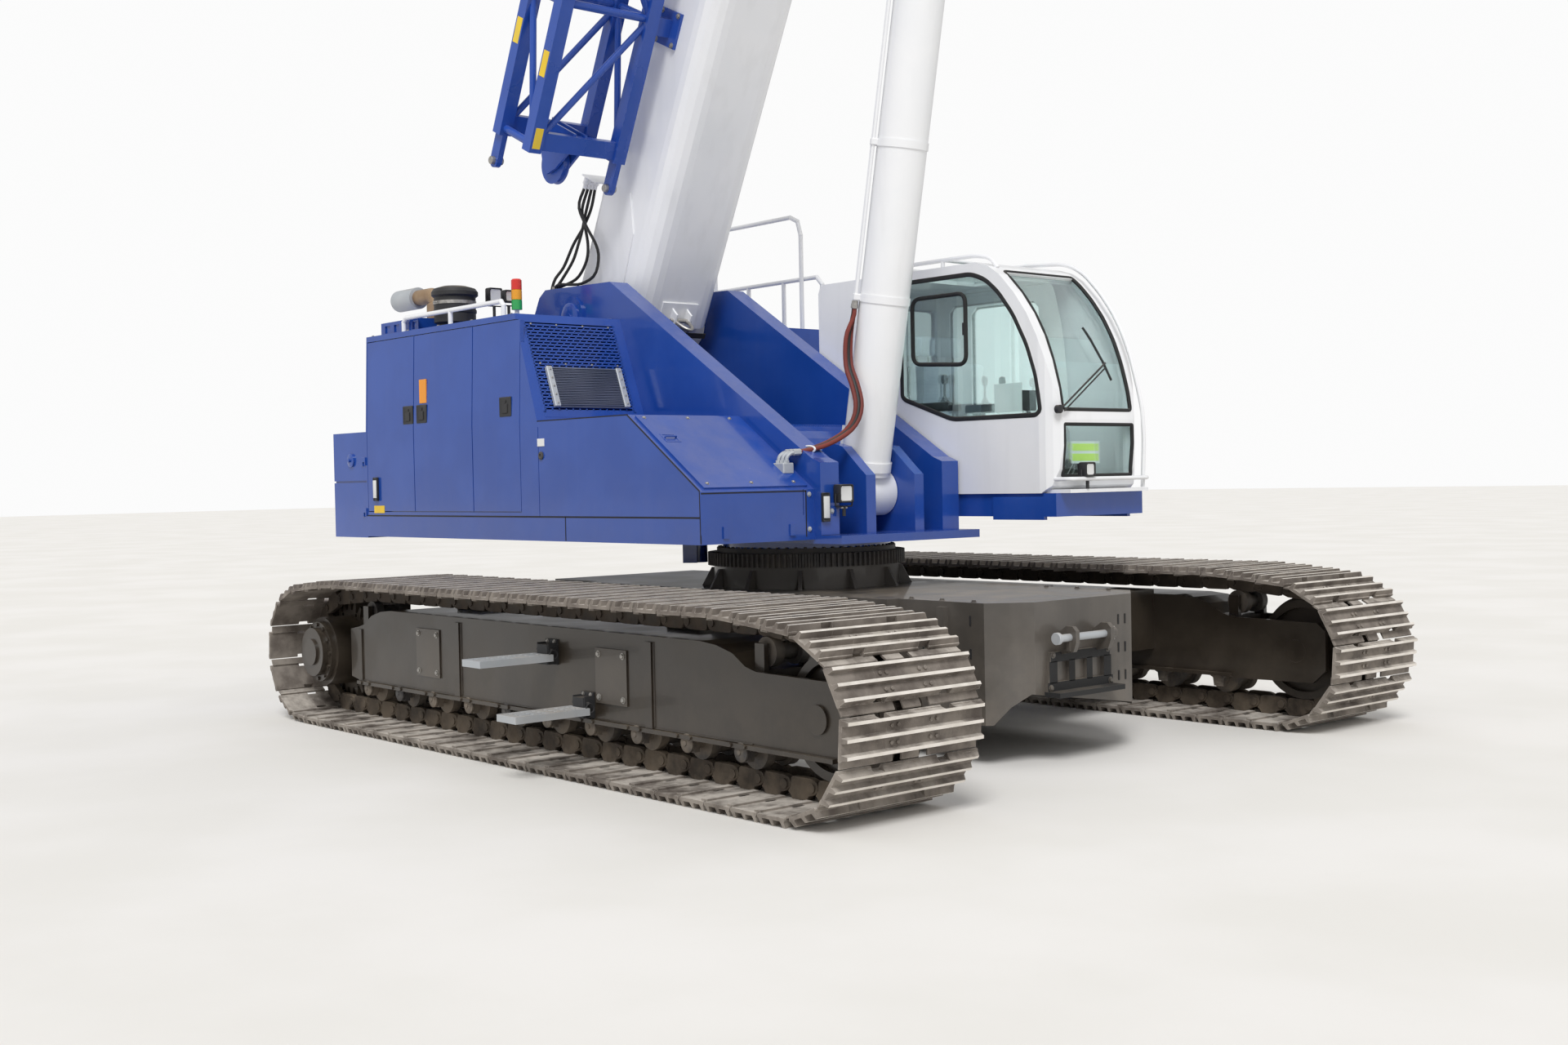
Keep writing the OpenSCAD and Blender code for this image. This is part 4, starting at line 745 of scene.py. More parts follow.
@dataclass(frozen=True)
class Finish:
    """A coat of paint or a bare surface with its wear, dust and grain."""

    name: str
    colour: Colour
    second: Colour
    roughness: float = 0.4
    metallic: float = 0.0
    coat: float = 0.0
    scale: float = 2.5
    grain: float = 90.0
    bump: float = 0.05
    wear: float = 0.0
    wear_width: float = 0.005
    wear_colour: Colour = (0.35, 0.33, 0.31)
    dust_top: float = 1.3
    dust_low: float = 0.0
    dust_lying: float = 0.0
    dust_colour: Colour = (0.42, 0.34, 0.25)
    streaks: float = 0.0
    streak_colour: Colour = (0.3, 0.27, 0.24)

    def material(self) -> bpy.types.Material:
        """Gives this finish's material, built on its first use."""
        return bpy.data.materials.get(self.name) or self.build()

    def build(self) -> bpy.types.Material:
        """Lays the nodes of the material.

        Returns:
            The material.
        """
        material = bpy.data.materials.new(self.name)
        material.use_nodes = True
        graph = Graph(material.node_tree)
        shader = next(n for n in material.node_tree.nodes if n.type == "BSDF_PRINCIPLED").inputs
        spot = graph.add("TexCoord").outputs["Object"]
        colour, rough = self.paint(graph, spot)
        values = {"Base Color": colour, "Roughness": rough, "Metallic": self.metallic, "Coat Weight": self.coat,
                  "Coat Roughness": 0.06}
        for key, value in values.items():
            graph.give(value, shader[key])
        self.relief(graph, spot, shader)
        self.extra(graph, spot, shader)
        return material

    def placed(self, graph: Graph, tree: Tree, spot: Socket, **values: float) -> bpy.types.Node:
        """Places a shared effect with this finish's own values.

        Args:
            graph: graph of the material.
            tree: the node group.
            spot: the point that it reads.
            values: its inputs, with spaces written as underscores.

        Returns:
            The group node.
        """
        node = graph.add("Group", node_tree=tree)
        graph.give(spot, node.inputs["Vector"])
        for key, value in values.items():
            node.inputs[key.replace("_", " ")].default_value = value
        return node

    def paint(self, graph: Graph, spot: Socket) -> tuple[Socket, Socket]:
        """Mixes base colour and roughness from patches, streaks, dust and wear.

        Args:
            graph: graph of the material.
            spot: the point that patterns read.

        Returns:
            The colour and the roughness.
        """
        patches = self.placed(graph, Effects.mottle(), spot, Scale=self.scale, Grain=self.grain).outputs["Mask"]
        colour = graph.mix(patches, self.colour, self.second)
        rough = graph.ramp(patches, 0.0, 1.0, self.roughness, min(1.0, self.roughness * 1.25 + 0.03))
        if self.streaks:
            runs = self.placed(graph, Effects.streaks(), spot, Amount=self.streaks).outputs["Mask"]
            colour = graph.mix(runs, colour, self.streak_colour)
        if self.wear:
            edge = self.placed(graph, Effects.edge_wear(), spot, Width=self.wear_width, Amount=self.wear)
            worn = edge.outputs["Mask"]
            colour = graph.mix(worn, colour, self.wear_colour)
            rough = graph.math("ADD", rough, graph.math("MULTIPLY", worn, 0.15))
        if self.dust_low or self.dust_lying:
            dust = self.placed(graph, Effects.dust(), spot, Top=self.dust_top, Low_Amount=self.dust_low,
                               Lying_Amount=self.dust_lying).outputs["Mask"]
            colour = graph.mix(dust, colour, self.dust_colour)
            rough = graph.math("ADD", rough, graph.math("MULTIPLY", dust, 0.5))
        return colour, rough

    def relief(self, graph: Graph, spot: Socket, shader: object) -> None:
        """Adds the fine relief of the surface.

        Args:
            graph: graph of the material.
            spot: the point that the pattern reads.
            shader: the shader's inputs.
        """
        if not self.bump:
            return
        grain = self.placed(graph, Effects.mottle(), spot, Scale=self.scale, Grain=self.grain)
        sources = {"Strength": self.bump, "Distance": 0.002, "Height": grain.outputs["Height"]}
        graph.give(graph.add("Bump", sources).outputs[0], shader["Normal"])

    def extra(self, graph: Graph, spot: Socket, shader: object) -> None:
        """Leaves room for what one kind of finish adds."""


@dataclass(frozen=True)
class Glass(Finish):
    """Clear tinted pane."""

    def extra(self, graph: Graph, spot: Socket, shader: object) -> None:
        """Makes the surface let light through."""
        for key, value in {"Transmission Weight": 1.0, "IOR": 1.2, "Alpha": 0.45}.items():
            shader[key].default_value = value


@dataclass(frozen=True)
class Weave(Finish):
    """Woven cloth, its threads drawn by two crossed waves."""

    def relief(self, graph: Graph, spot: Socket, shader: object) -> None:
        """Crosses two sets of threads into the height.

        Args:
            graph: graph of the material.
            spot: the point that the pattern reads.
            shader: the shader's inputs.
        """
        sources = {"Vector": spot, "Scale": self.grain}
        sets = [graph.add("TexWave", sources, wave_type="BANDS", bands_direction=way).outputs["Fac"] for way in "XZ"]
        height = graph.math("MAXIMUM", sets[0], sets[1])
        bump = graph.add("Bump", {"Strength": self.bump, "Distance": 0.001, "Height": height})
        graph.give(bump.outputs[0], shader["Normal"])
        shader["Sheen Weight"].default_value = 0.3


@dataclass(frozen=True)
class LightStack(Finish):
    """White post with red, amber and green lenses one above another."""

    height: float = 0.346
    stops: tuple[tuple[float, Colour], ...] = (
        (0.0, (0.8, 0.8, 0.8)), (0.35, (0.03, 0.42, 0.1)), (0.56, (0.9, 0.38, 0.02)), (0.77, (0.75, 0.03, 0.02)))

    def extra(self, graph: Graph, spot: Socket, shader: object) -> None:
        """Colours the lenses by their height above the hood.

        Args:
            graph: graph of the material.
            spot: the point that the pattern reads.
            shader: the shader's inputs.
        """
        place = graph.add("SeparateXYZ", {0: spot})
        share = graph.ramp(place.outputs["Z"], HOOD_TOP, HOOD_TOP + self.height)
        share.node.interpolation_type = "LINEAR"
        bands = graph.add("ValToRGB", {"Fac": share})
        ramp = bands.color_ramp
        ramp.interpolation = "CONSTANT"
        for index, (position, colour) in enumerate(self.stops):
            stop = ramp.elements[index] if index < 2 else ramp.elements.new(position)
            stop.position = position
            stop.color = (*colour, 1.0)
        graph.give(bands.outputs[0], shader["Base Color"])


BLUE = Finish(
    "deep_blue_gloss", (0.011, 0.062, 0.335), (0.014, 0.071, 0.37), 0.16, coat=0.35, bump=0.01, wear=0.06,
    wear_colour=(0.1, 0.15, 0.4), dust_top=2.0, dust_low=0.06, dust_lying=0.1, streaks=0.03,
    streak_colour=(0.12, 0.15, 0.36))
JIB_BLUE = Finish(
    "jib_blue_gloss", (0.014, 0.068, 0.37), (0.02, 0.08, 0.41), 0.26, coat=0.25, bump=0.05, wear=0.4,
    wear_colour=(0.16, 0.2, 0.42), dust_lying=0.1)
CHASSIS = Finish(
    "brown_black_satin", (0.023, 0.017, 0.012), (0.035, 0.027, 0.019), 0.32, coat=0.3, bump=0.1, wear=0.45,
    wear_colour=(0.1, 0.08, 0.07), dust_top=0.9, dust_low=0.07, dust_lying=0.25)
BOX_GREY = Finish(
    "front_box_satin", (0.07, 0.062, 0.054), (0.108, 0.097, 0.086), 0.36, coat=0.25, bump=0.08, wear=0.4,
    wear_colour=(0.2, 0.18, 0.17), dust_top=1.0, dust_low=0.16, dust_lying=0.28, streaks=0.05)
WHITE = Finish(
    "white_gloss", (0.87, 0.88, 0.9), (0.9, 0.905, 0.92), 0.28, coat=0.5, bump=0.02, wear=0.12,
    wear_colour=(0.55, 0.55, 0.55), dust_top=3.0, dust_low=0.05, dust_lying=0.1, streaks=0.1,
    streak_colour=(0.55, 0.55, 0.54))
# Shoe plates: the steel's own dark brown, darkened further as painted shade for the recesses between the grousers.
SHOE_STEEL_PAINTED_SHADE = Finish(
    "worn_shoe_steel_painted_shade", (0.135, 0.112, 0.095), (0.24, 0.208, 0.178), 0.7, metallic=0.2, scale=8.0, grain=140.0,
    bump=0.6, wear=0.5, wear_width=0.006, wear_colour=(0.62, 0.57, 0.51), dust_top=1.3, dust_low=0.35,
    dust_lying=0.75, dust_colour=(0.62, 0.57, 0.51))
# Grouser tips: near white, partly bare worn steel and partly a painted highlight of light glancing off the tips.
GROUSER_TIP_PAINTED_HIGHLIGHT = Finish(
    "worn_grouser_tip_painted_highlight", (0.74, 0.69, 0.62), (0.86, 0.81, 0.75), 0.45, metallic=0.35, scale=11.0, grain=160.0,
    bump=0.4, dust_lying=0.3, dust_colour=(0.58, 0.51, 0.43))
# Chain links: partly the steel's own dark tone, partly painted shade for the shadow under the side frame.
CHAIN_STEEL_PAINTED_SHADE = Finish(
    "chain_steel_painted_shade", (0.032, 0.025, 0.02), (0.07, 0.054, 0.042), 0.6, metallic=0.3, scale=9.0, bump=0.4,
    wear=0.6, wear_colour=(0.3, 0.26, 0.22), dust_top=1.2, dust_low=0.35, dust_lying=0.5)
MACHINERY = Finish(
    "machinery_grey", (0.045, 0.044, 0.046), (0.075, 0.07, 0.068), 0.5, metallic=0.1, bump=0.15, wear=0.5,
    wear_colour=(0.25, 0.24, 0.23), dust_top=1.6, dust_low=0.5, dust_lying=0.35)
TREAD_ALLOY = Finish(
    "light_grey_tread", (0.46, 0.49, 0.52), (0.55, 0.57, 0.59), 0.5, metallic=0.35, bump=0.12, wear=0.5,
    wear_colour=(0.75, 0.75, 0.75), dust_top=1.2, dust_low=0.25, dust_lying=0.4)
CHROME = Finish("hard_chrome", (0.8, 0.8, 0.82), (0.74, 0.74, 0.76), 0.1, metallic=1.0, bump=0.0)
RUBBER = Finish("black_rubber", (0.012, 0.012, 0.013), (0.022, 0.022, 0.022), 0.65, bump=0.1, dust_lying=0.15)
PLASTIC = Finish(
    "dark_plastic", (0.02, 0.02, 0.022), (0.03, 0.03, 0.032), 0.5, bump=0.2, grain=220.0, dust_lying=0.3)
ZINC = Finish(
    "zinc_bolt", (0.36, 0.35, 0.33), (0.5, 0.48, 0.45), 0.42, metallic=0.8, bump=0.1, scale=30.0, dust_lying=0.2)
EXHAUST = Finish(
    "heat_tan_steel", (0.36, 0.24, 0.14), (0.46, 0.34, 0.23), 0.5, metallic=0.55, scale=9.0, bump=0.15, streaks=0.3,
    streak_colour=(0.2, 0.12, 0.08))
# Inspection plates: lighter than the chassis paint, with lighter edges, as a painted highlight where light catches
# the plates.
PLATE_BROWN_PAINTED_HIGHLIGHT = Finish(
    "inspection_plate_painted_highlight", (0.06, 0.05, 0.04), (0.08, 0.068, 0.056), 0.36, coat=0.3, bump=0.08, wear=0.3,
    wear_colour=(0.16, 0.14, 0.12), dust_top=0.9, dust_low=0.1, dust_lying=0.25)
CORE = Finish("condenser_core", (0.13, 0.15, 0.21), (0.19, 0.21, 0.28), 0.5, metallic=0.2, bump=0.1)
SEAL = Finish("black_joint_line", (0.008, 0.008, 0.012), (0.012, 0.012, 0.018), 0.6, bump=0.0)
GLASS = Glass("green_tint_glass", (0.66, 0.92, 0.89), (0.7, 0.94, 0.91), 0.01, bump=0.0)
REFLECTOR = Finish(
    "lamp_reflector", (0.75, 0.75, 0.76), (0.82, 0.82, 0.82), 0.12, metallic=1.0, bump=0.2, grain=120.0)
ORANGE = Finish("orange_plate", (0.85, 0.3, 0.01), (0.9, 0.36, 0.02), 0.35, bump=0.15, grain=400.0, streaks=0.1)
YELLOW = Finish("yellow_plate", (0.83, 0.55, 0.02), (0.88, 0.62, 0.04), 0.45, bump=0.05, streaks=0.15)
PALE_LABEL = Finish("pale_plate", (0.74, 0.75, 0.74), (0.8, 0.8, 0.79), 0.4, bump=0.04, streaks=0.15)
GREEN_LABEL = Finish("yellow_green_plate", (0.58, 0.78, 0.12), (0.64, 0.83, 0.18), 0.45, bump=0.04)
RED_HOSE = Finish(
    "red_hose_sleeve", (0.15, 0.022, 0.016), (0.22, 0.042, 0.03), 0.6, bump=0.5, grain=350.0, dust_lying=0.2)
BLACK_HOSE = Finish(
    "black_hose", (0.014, 0.014, 0.015), (0.026, 0.025, 0.025), 0.5, bump=0.35, grain=350.0, dust_lying=0.2)
HOOK_YELLOW = Finish(
    "hook_block_yellow", (0.8, 0.46, 0.02), (0.86, 0.54, 0.04), 0.42, coat=0.2, bump=0.1, wear=0.8,
    wear_colour=(0.3, 0.27, 0.24), streaks=0.25)
SEAT_CLOTH = Weave(
    "covered_seat_cloth", (0.44, 0.5, 0.6), (0.55, 0.61, 0.7), 0.75, bump=0.6, grain=170.0, scale=12.0)
FLOOR_MAT = Finish(
    "cab_floor_mat", (0.05, 0.05, 0.055), (0.08, 0.08, 0.08), 0.8, bump=0.4, grain=60.0, dust_lying=0.4)
STACK = LightStack("light_stack", (0.8, 0.8, 0.8), (0.85, 0.85, 0.85), 0.25, coat=0.4, bump=0.02)

NODE_FINISH: dict[Finish, tuple[str, ...]] = {
    BOX_GREY: ("carbody",),
    CHASSIS: ("axle_sleeves", "frame_right", "frame_left", "sprocket_right", "sprocket_left", "idler_right",
        "idler_left"),
    SHOE_STEEL_PAINTED_SHADE: ("track_right", "track_left"),
    MACHINERY: ("slew_ring", "rollers_right", "rollers_left", "engine", "drum_main", "drum_aux"),
    TREAD_ALLOY: ("steps_right", "steps_left"),
    BLUE: ("turntable", "deck", "hood", "grille", "left_housing", "counterweight", "hood_door_front",
        "hood_door_mid", "hood_door_rear"),
    JIB_BLUE: ("jib",),
    WHITE: ("handrails", "cab_shell", "cab_door", "boom_base", "boom_2", "boom_3", "boom_4", "boom_tip",
        "luff_barrel"),
    STACK: ("tower_light",),
    PLASTIC: ("air_cleaner",),
    EXHAUST: ("exhaust",),
    CHROME: ("luff_rod",),
    HOOK_YELLOW: ("hook_block",),
    GLASS: ("cab_glass", "door_glass"),
    SEAT_CLOTH: ("cab_seat",),
}


def finish_nodes(nodes: dict[str, bpy.types.Object]) -> None:
    """Gives every node of the frame its finish.

    Args:
        nodes: the frame's nodes by name.
    """
    for finish, names in NODE_FINISH.items():
        for name in names:
            obj = nodes[name]
            for index in range(len(obj.material_slots)):
                obj.material_slots[index].material = finish.material()
            if not obj.material_slots:
                obj.data.materials.append(finish.material())


class Trim:
    """Fittings that ride on one body, modelled in one frame."""

    body = Body.UPPER
    slot = "blue_paint"
    frame = MACHINE

    def put(self, name: str, parts: list[Piece], finish: Finish, **where: object) -> Piece:
        """Joins parts into one fitting and dresses it.

        Args:
            name: name of the fitting.
            parts: its parts.
            finish: its finish.
            where: its body, slot or frame, where it isn't the class's own.

        Returns:
            The fitting.
        """
        body, slot, frame = (where.get(key, getattr(self, key)) for key in ("body", "slot", "frame"))
        return dressed(joined(name, parts), body, finish, frame)

    def screws(self, name: str, places: Iterable[Point], way: Axis, size: float, washer: bool = True,
               finish: Finish = ZINC, **where: object) -> None:
        """Models one set of bolts.

        Args:
            name: name of the set.
            places: points on the surface.
            way: direction that the heads face.
            size: radius of a head.
            washer: whether a washer lies under each head.
            finish: its finish.
            where: its body, slot or frame, where it isn't the class's own.
        """
        self.put(name, [bolts(name, places, way, size, washer)], finish, **where)


# Cords come first


@dataclass
class Hoses:
    """Hydraulic hoses beside the cylinder and behind the boom."""

    cylinder_radius: float = 0.0145
    boom_radius: float = 0.011
    pipe_reach: float = 0.184
    fine_steps: int = 24
    run: tuple[Point, ...] = (
        (0.631, -0.15, 2.488), (0.648, -0.17, 2.308), (0.725, -0.19, 2.176), (0.78, -0.21, 2.062),
        (0.794, -0.24, 1.97), (0.78, -0.29, 1.895), (0.75, -0.36, 1.841), (0.703, -0.44, 1.797),
        (0.676, -0.53, 1.773), (0.64, -0.62, 1.757))
    loops: tuple[tuple[Point, ...], ...] = (
        ((-1.989, -0.396, 3.622), (-1.894, -0.406, 3.472), (-1.745, -0.42, 3.306), (-1.695, -0.436, 3.199),
         (-1.725, -0.454, 3.085), (-1.853, -0.474, 3.038), (-1.97, -0.49, 3.04), (-2.09, -0.515, 3.05),
         (-2.15, -0.52, 3.03)),
        ((-1.99, -0.367, 3.601), (-1.945, -0.379, 3.481), (-1.885, -0.395, 3.324), (-1.883, -0.414, 3.204),
         (-1.961, -0.44, 3.092), (-2.08, -0.48, 3.045), (-2.165, -0.498, 3.03), (-2.19, -0.5, 3.005)),
        ((-1.991, -0.338, 3.568), (-2.016, -0.353, 3.45), (-2.045, -0.372, 3.345), (-2.08, -0.4, 3.227),
         (-2.155, -0.45, 3.095), (-2.205, -0.475, 3.03), (-2.215, -0.48, 2.99)),
        ((-1.957, -0.31, 3.607), (-2.029, -0.329, 3.484), (-2.127, -0.36, 3.356), (-2.199, -0.4, 3.199),
         (-2.24, -0.455, 3.104), (-2.258, -0.478, 3.0), (-2.262, -0.48, 2.925)))

    def smooth(self, points: list[Vector], count: int = 30) -> list[Vector]:
        """Runs one smooth line through points.

        Args:
            points: points that the line passes.
            count: number of points of the line.

        Returns:
            The line's points, evenly spread.
        """
        ends = [points[0] * 2 - points[1], *points, points[-1] * 2 - points[-2]]
        fine: list[Vector] = []
        for a, b, c, d in zip(ends, ends[1:], ends[2:], ends[3:]):
            for k in range(self.fine_steps):
                t = k / self.fine_steps
                bend = (2 * a - 5 * b + 4 * c - d) * t * t + (3 * b - a - 3 * c + d) * t**3
                fine.append(0.5 * (2 * b + (c - a) * t + bend))
        fine.append(points[-1])
        lengths = [0.0]
        for a, b in zip(fine, fine[1:]):
            lengths.append(lengths[-1] + (b - a).length)
        line, k = [], 0
        for i in range(count):
            goal = lengths[-1] * i / (count - 1)
            while k < len(lengths) - 2 and lengths[k + 1] < goal:
                k += 1
            share = (goal - lengths[k]) / max(lengths[k + 1] - lengths[k], 1e-9)
            line.append(fine[k].lerp(fine[k + 1], min(1.0, share)))
        return line

    def hose(self, name: str, points: list[Vector], radius: float, finish: Finish) -> None:
        """Makes one hose, a fixed tube laid from a moving body to the upper.

        Args:
            name: name of the hose.
            points: points that it passes, in the row frame.
            radius: its radius.
            finish: its finish.
        """
        line = self.smooth(points)
        obj = joined(name, [tube(line, radius, sides=2)])
        obj.data.materials.clear()
        obj.data.materials.append(finish.material())
        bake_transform(obj)

    def build(self) -> None:
        """Lays the hoses of the luff cylinder and of the boom's foot."""
        low, high, last = at(0.5, 0.0, 1.84), at(0.6, 0.0, 2.3), len(self.run) - 1
        for i, (turn, finish) in enumerate(zip(PIPE_TURNS, (RED_HOSE, BLACK_HOSE, RED_HOSE))):
            reach = self.pipe_reach
            path = [LUFF_FRAME @ Vector((u, -reach * math.sin(turn), reach * math.cos(turn))) for u in (1.16, 1.1)]
            for k, (x, y, z) in enumerate(self.run):
                t = k / last
                path.append(at(x + i * (0.01 - 0.046 * t), y - i * 0.03 * (1 - t), z - i * 0.008 * (1 - t)))
            self.hose(f"cylinder_hose_{i}", path, self.cylinder_radius, finish)
        low, high = at(-1.98, 0.0, 3.1), at(-1.86, 0.0, 3.45)
        for i, points in enumerate(self.loops):
            path = [at(-1.914, -0.39 + 0.03 * i, 3.752), *(at(*p) for p in points)]
            self.hose(f"boom_hose_{i}", path, self.boom_radius, BLACK_HOSE)


# Running gear


@dataclass
class TrackChain:
    """A track's shoes and links, laid round the same path as the plain track."""

    left: bool
    length: float = 6.0
    span: float = 4.86
    height: float = 0.985
    shoe_width: float = 0.9
    count: int = 62
    grouser: float = 0.03
    shoe: float = 0.018
    link_height: float = 0.112
    link: float = 0.046
    link_gap: float = 0.12
    pin_rise: float = 0.044
    end_radius: float = 0.44
    carrier_radius: float = 0.075
    carrier_x: float = 2.06

    def pin_depth(self) -> float:
        """Depth of the chain's pins under the shoes' outer face."""
        return self.shoe + self.link_height - self.pin_rise

    def legs(self) -> list[tuple[float, float, float, float, float, float]]:
        """Works out the pins' arc round each wheel and the straight run after it.

        Returns:
            Middle x, middle z, radius, start angle, sweep and run length of each.
        """
        end_x = self.length / 2 - self.end_radius - self.grouser
        end_z = self.grouser + self.end_radius
        top = self.shoe + self.link_height + self.carrier_radius
        top_z = self.height - self.grouser - top
        end_pins, top_pins = self.end_radius - self.pin_depth(), top - self.pin_depth()
        wheels = [(-end_x, end_z, end_pins), (end_x, end_z, end_pins), (self.carrier_x, top_z, top_pins),
                  (-self.carrier_x, top_z, top_pins)]
        angles, runs = [], []
        for a, b in zip(wheels, (*wheels[1:], wheels[0])):
            gap = math.hypot(b[0] - a[0], b[1] - a[1])
            angles.append(math.atan2(b[1] - a[1], b[0] - a[0]) - math.acos((a[2] - b[2]) / gap))
            runs.append(math.sqrt(gap * gap - (a[2] - b[2]) ** 2))
        return [(*wheel, angles[i - 1], (angles[i] - angles[i - 1]) % math.tau, runs[i])
                for i, wheel in enumerate(wheels)]

    def along(self, distance: float) -> tuple[float, float]:
        """Gives the x and z of the pins' path at a distance round it.

        Args:
            distance: distance from the first wheel's arc.

        Returns:
            Its x and its z.
        """
        legs = self.legs()
        distance %= sum(leg[2] * leg[4] + leg[5] for leg in legs)
        for x, z, radius, start, sweep, run in legs:
            angle = start + min(distance / radius, sweep)
            straight = max(0.0, distance - radius * sweep)
            if straight < run:
                break
            distance = straight - run
        return (x + radius * math.cos(angle) - straight * math.sin(angle),
                z + radius * math.sin(angle) + straight * math.cos(angle))

    def shoe_plate(self, pitch: float) -> Piece:
        """One shoe: a plate with lapped edges, three grouser bars whose tops are worn bare and painted near white as
        a highlight, a lip and eight bolts.

        Args:
            pitch: distance from shoe to shoe.

        Returns:
            The shoe, its outer face at z = 0 and travel along x.
        """
        half, t, g, w = pitch / 2, self.shoe, self.grouser, self.shoe_width / 2
        spans = []
        for y0, y1, cut in ((-w, -0.245, 0.004), (-0.245, -0.175, 0.026), (-0.175, 0.175, 0.004),
                            (0.175, 0.245, 0.026), (0.245, w, 0.004)):
            outline = [(-half + cut + 0.002, -t), (-half + cut - 0.002, -t * 0.55), (-half + cut + 0.002, -0.001)]
            for k in (-1, 0, 1):
                middle, top = k * 0.385 * pitch, g * (1.0 if k else 0.92)
                outline += [(middle - 0.0135, 0.0), (middle - 0.008, top), (middle + 0.0078, top),
                            (middle + 0.013, 0.0)]
            outline += [(half - cut - 0.001, 0.0), (half - cut, -t * 0.5), (half - cut - 0.004, -t)]
            if cut > 0.01:
                outline = [p for p in outline if abs(p[0]) < half - cut + 0.003 or p[1] > 0.001]
                outline = [(max(-half + cut, min(half - cut, x)), z) if z < 0.001 else (x, z) for x, z in outline]
            spans.append(plate(outline, y0, y1 - y0))
        lip = [(half - 0.012, -t + 0.001), (half - 0.002, -t - 0.001), (half + 0.03, -t - 0.0015),
               (half + 0.034, -t - 0.006), (half + 0.031, -t - 0.011), (half - 0.012, -t - 0.011)]
        spans += [plate(lip, y0, y1 - y0) for y0, y1 in ((-w + 0.012, -0.112), (-0.056, 0.056), (0.112, w - 0.012))]
        body = joined("shoe_plate", spans)
        for vertex in body.data.vertices:
            if vertex.co.z > g * 0.5 and abs(vertex.co.y) > w - 0.001:
                vertex.co.y -= math.copysign(0.012, vertex.co.y)
        places = product((-pitch / 5, pitch / 5), (-0.145, -0.105, 0.105, 0.145), (0.0,))
        shoe = joined("shoe", [body, bolts("shoe_bolts", places, Axis.Z, 0.0105, washer=False)])
        shoe.data.materials.clear()
        # Faces at the grousers' tops take the pale tip finish (wear plus painted highlight); the rest take the shoe
        # steel with its painted shade.
        for finish in (SHOE_STEEL_PAINTED_SHADE, GROUSER_TIP_PAINTED_HIGHLIGHT):
            shoe.data.materials.append(finish.material())
        for face in shoe.data.polygons:
            face.material_index = int(min(shoe.data.vertices[v].co.z for v in face.vertices) > g * 0.8)
        return shoe

    def link_pair(self, pitch: float) -> Piece:
        """The two link bars under a shoe with their pin bosses and the bush between them.

        Args:
            pitch: distance from shoe to shoe.

        Returns:
            The pair, in the shoe's own frame.
        """
        half, top = pitch / 2, -self.shoe
        low = top - self.link_height
        middle = low + self.pin_rise
        outline = [(-0.055, top), (-0.068, top - 0.022), (-half - 0.01, middle + 0.034),
                   (-half - 0.034, middle + 0.018), (-half - 0.04, middle - 0.008), (-half - 0.026, low + 0.01),
                   (-half + 0.01, low), (half - 0.054, low), (half - 0.044, low + 0.012),
                   (half - 0.04, middle + 0.006), (half - 0.02, middle + 0.036), (0.062, top - 0.02), (0.05, top)]
        inner = self.link_gap / 2
        parts = [plate(outline, start + 0.004, self.link - 0.008, 0.003) for start in (-inner - self.link, inner)]
        reach = inner + self.link + 0.006
        return joined("link_pair", [*parts, rod((-half, -reach, middle), (-half, reach, middle), 0.024, 10)])

    def place(self, index: float, pitch: float) -> Matrix:
        """Frame of one shoe on the belt.

        Args:
            index: number of the shoe.
            pitch: distance from shoe to shoe.

        Returns:
            The frame in the row frame.
        """
        ends = [Vector(self.along((index + step) * pitch)) for step in (-0.5, 0.5)]
        x, z = (ends[0] + ends[1]) / 2
        run = ends[1] - ends[0]
        turn = Matrix.Rotation(math.pi / 2 - math.atan2(-run.x, run.y), 4, "Y")
        middle = at(x, -(self.span - self.shoe_width) / 2, z)
        return Matrix.Translation(middle) @ turn @ Matrix.Translation((0, 0, self.pin_depth()))

    def build(self) -> None:
        """Lays the shoes and links and puts them in place of the plain track."""
        pitch = sum(leg[2] * leg[4] + leg[5] for leg in self.legs()) / self.count
        side = "left" if self.left else "right"
        flip = MIRROR_Y if self.left else Matrix.Identity(4)
        models = ((self.shoe_plate(pitch), "shoes", None), (self.link_pair(pitch), "links", CHAIN_STEEL_PAINTED_SHADE))
        for model, name, finish in models:
            laid = repeated(model, [flip @ self.place(k + 0.5, pitch) for k in range(self.count)])
            chain = joined(f"{name}_{side}", laid)
            if self.left:
                flipped(chain)
            dressed(chain, Body(f"side_{side}"), finish, smooth=25)
            if not finish:
                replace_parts(chain, f"track_{side}")


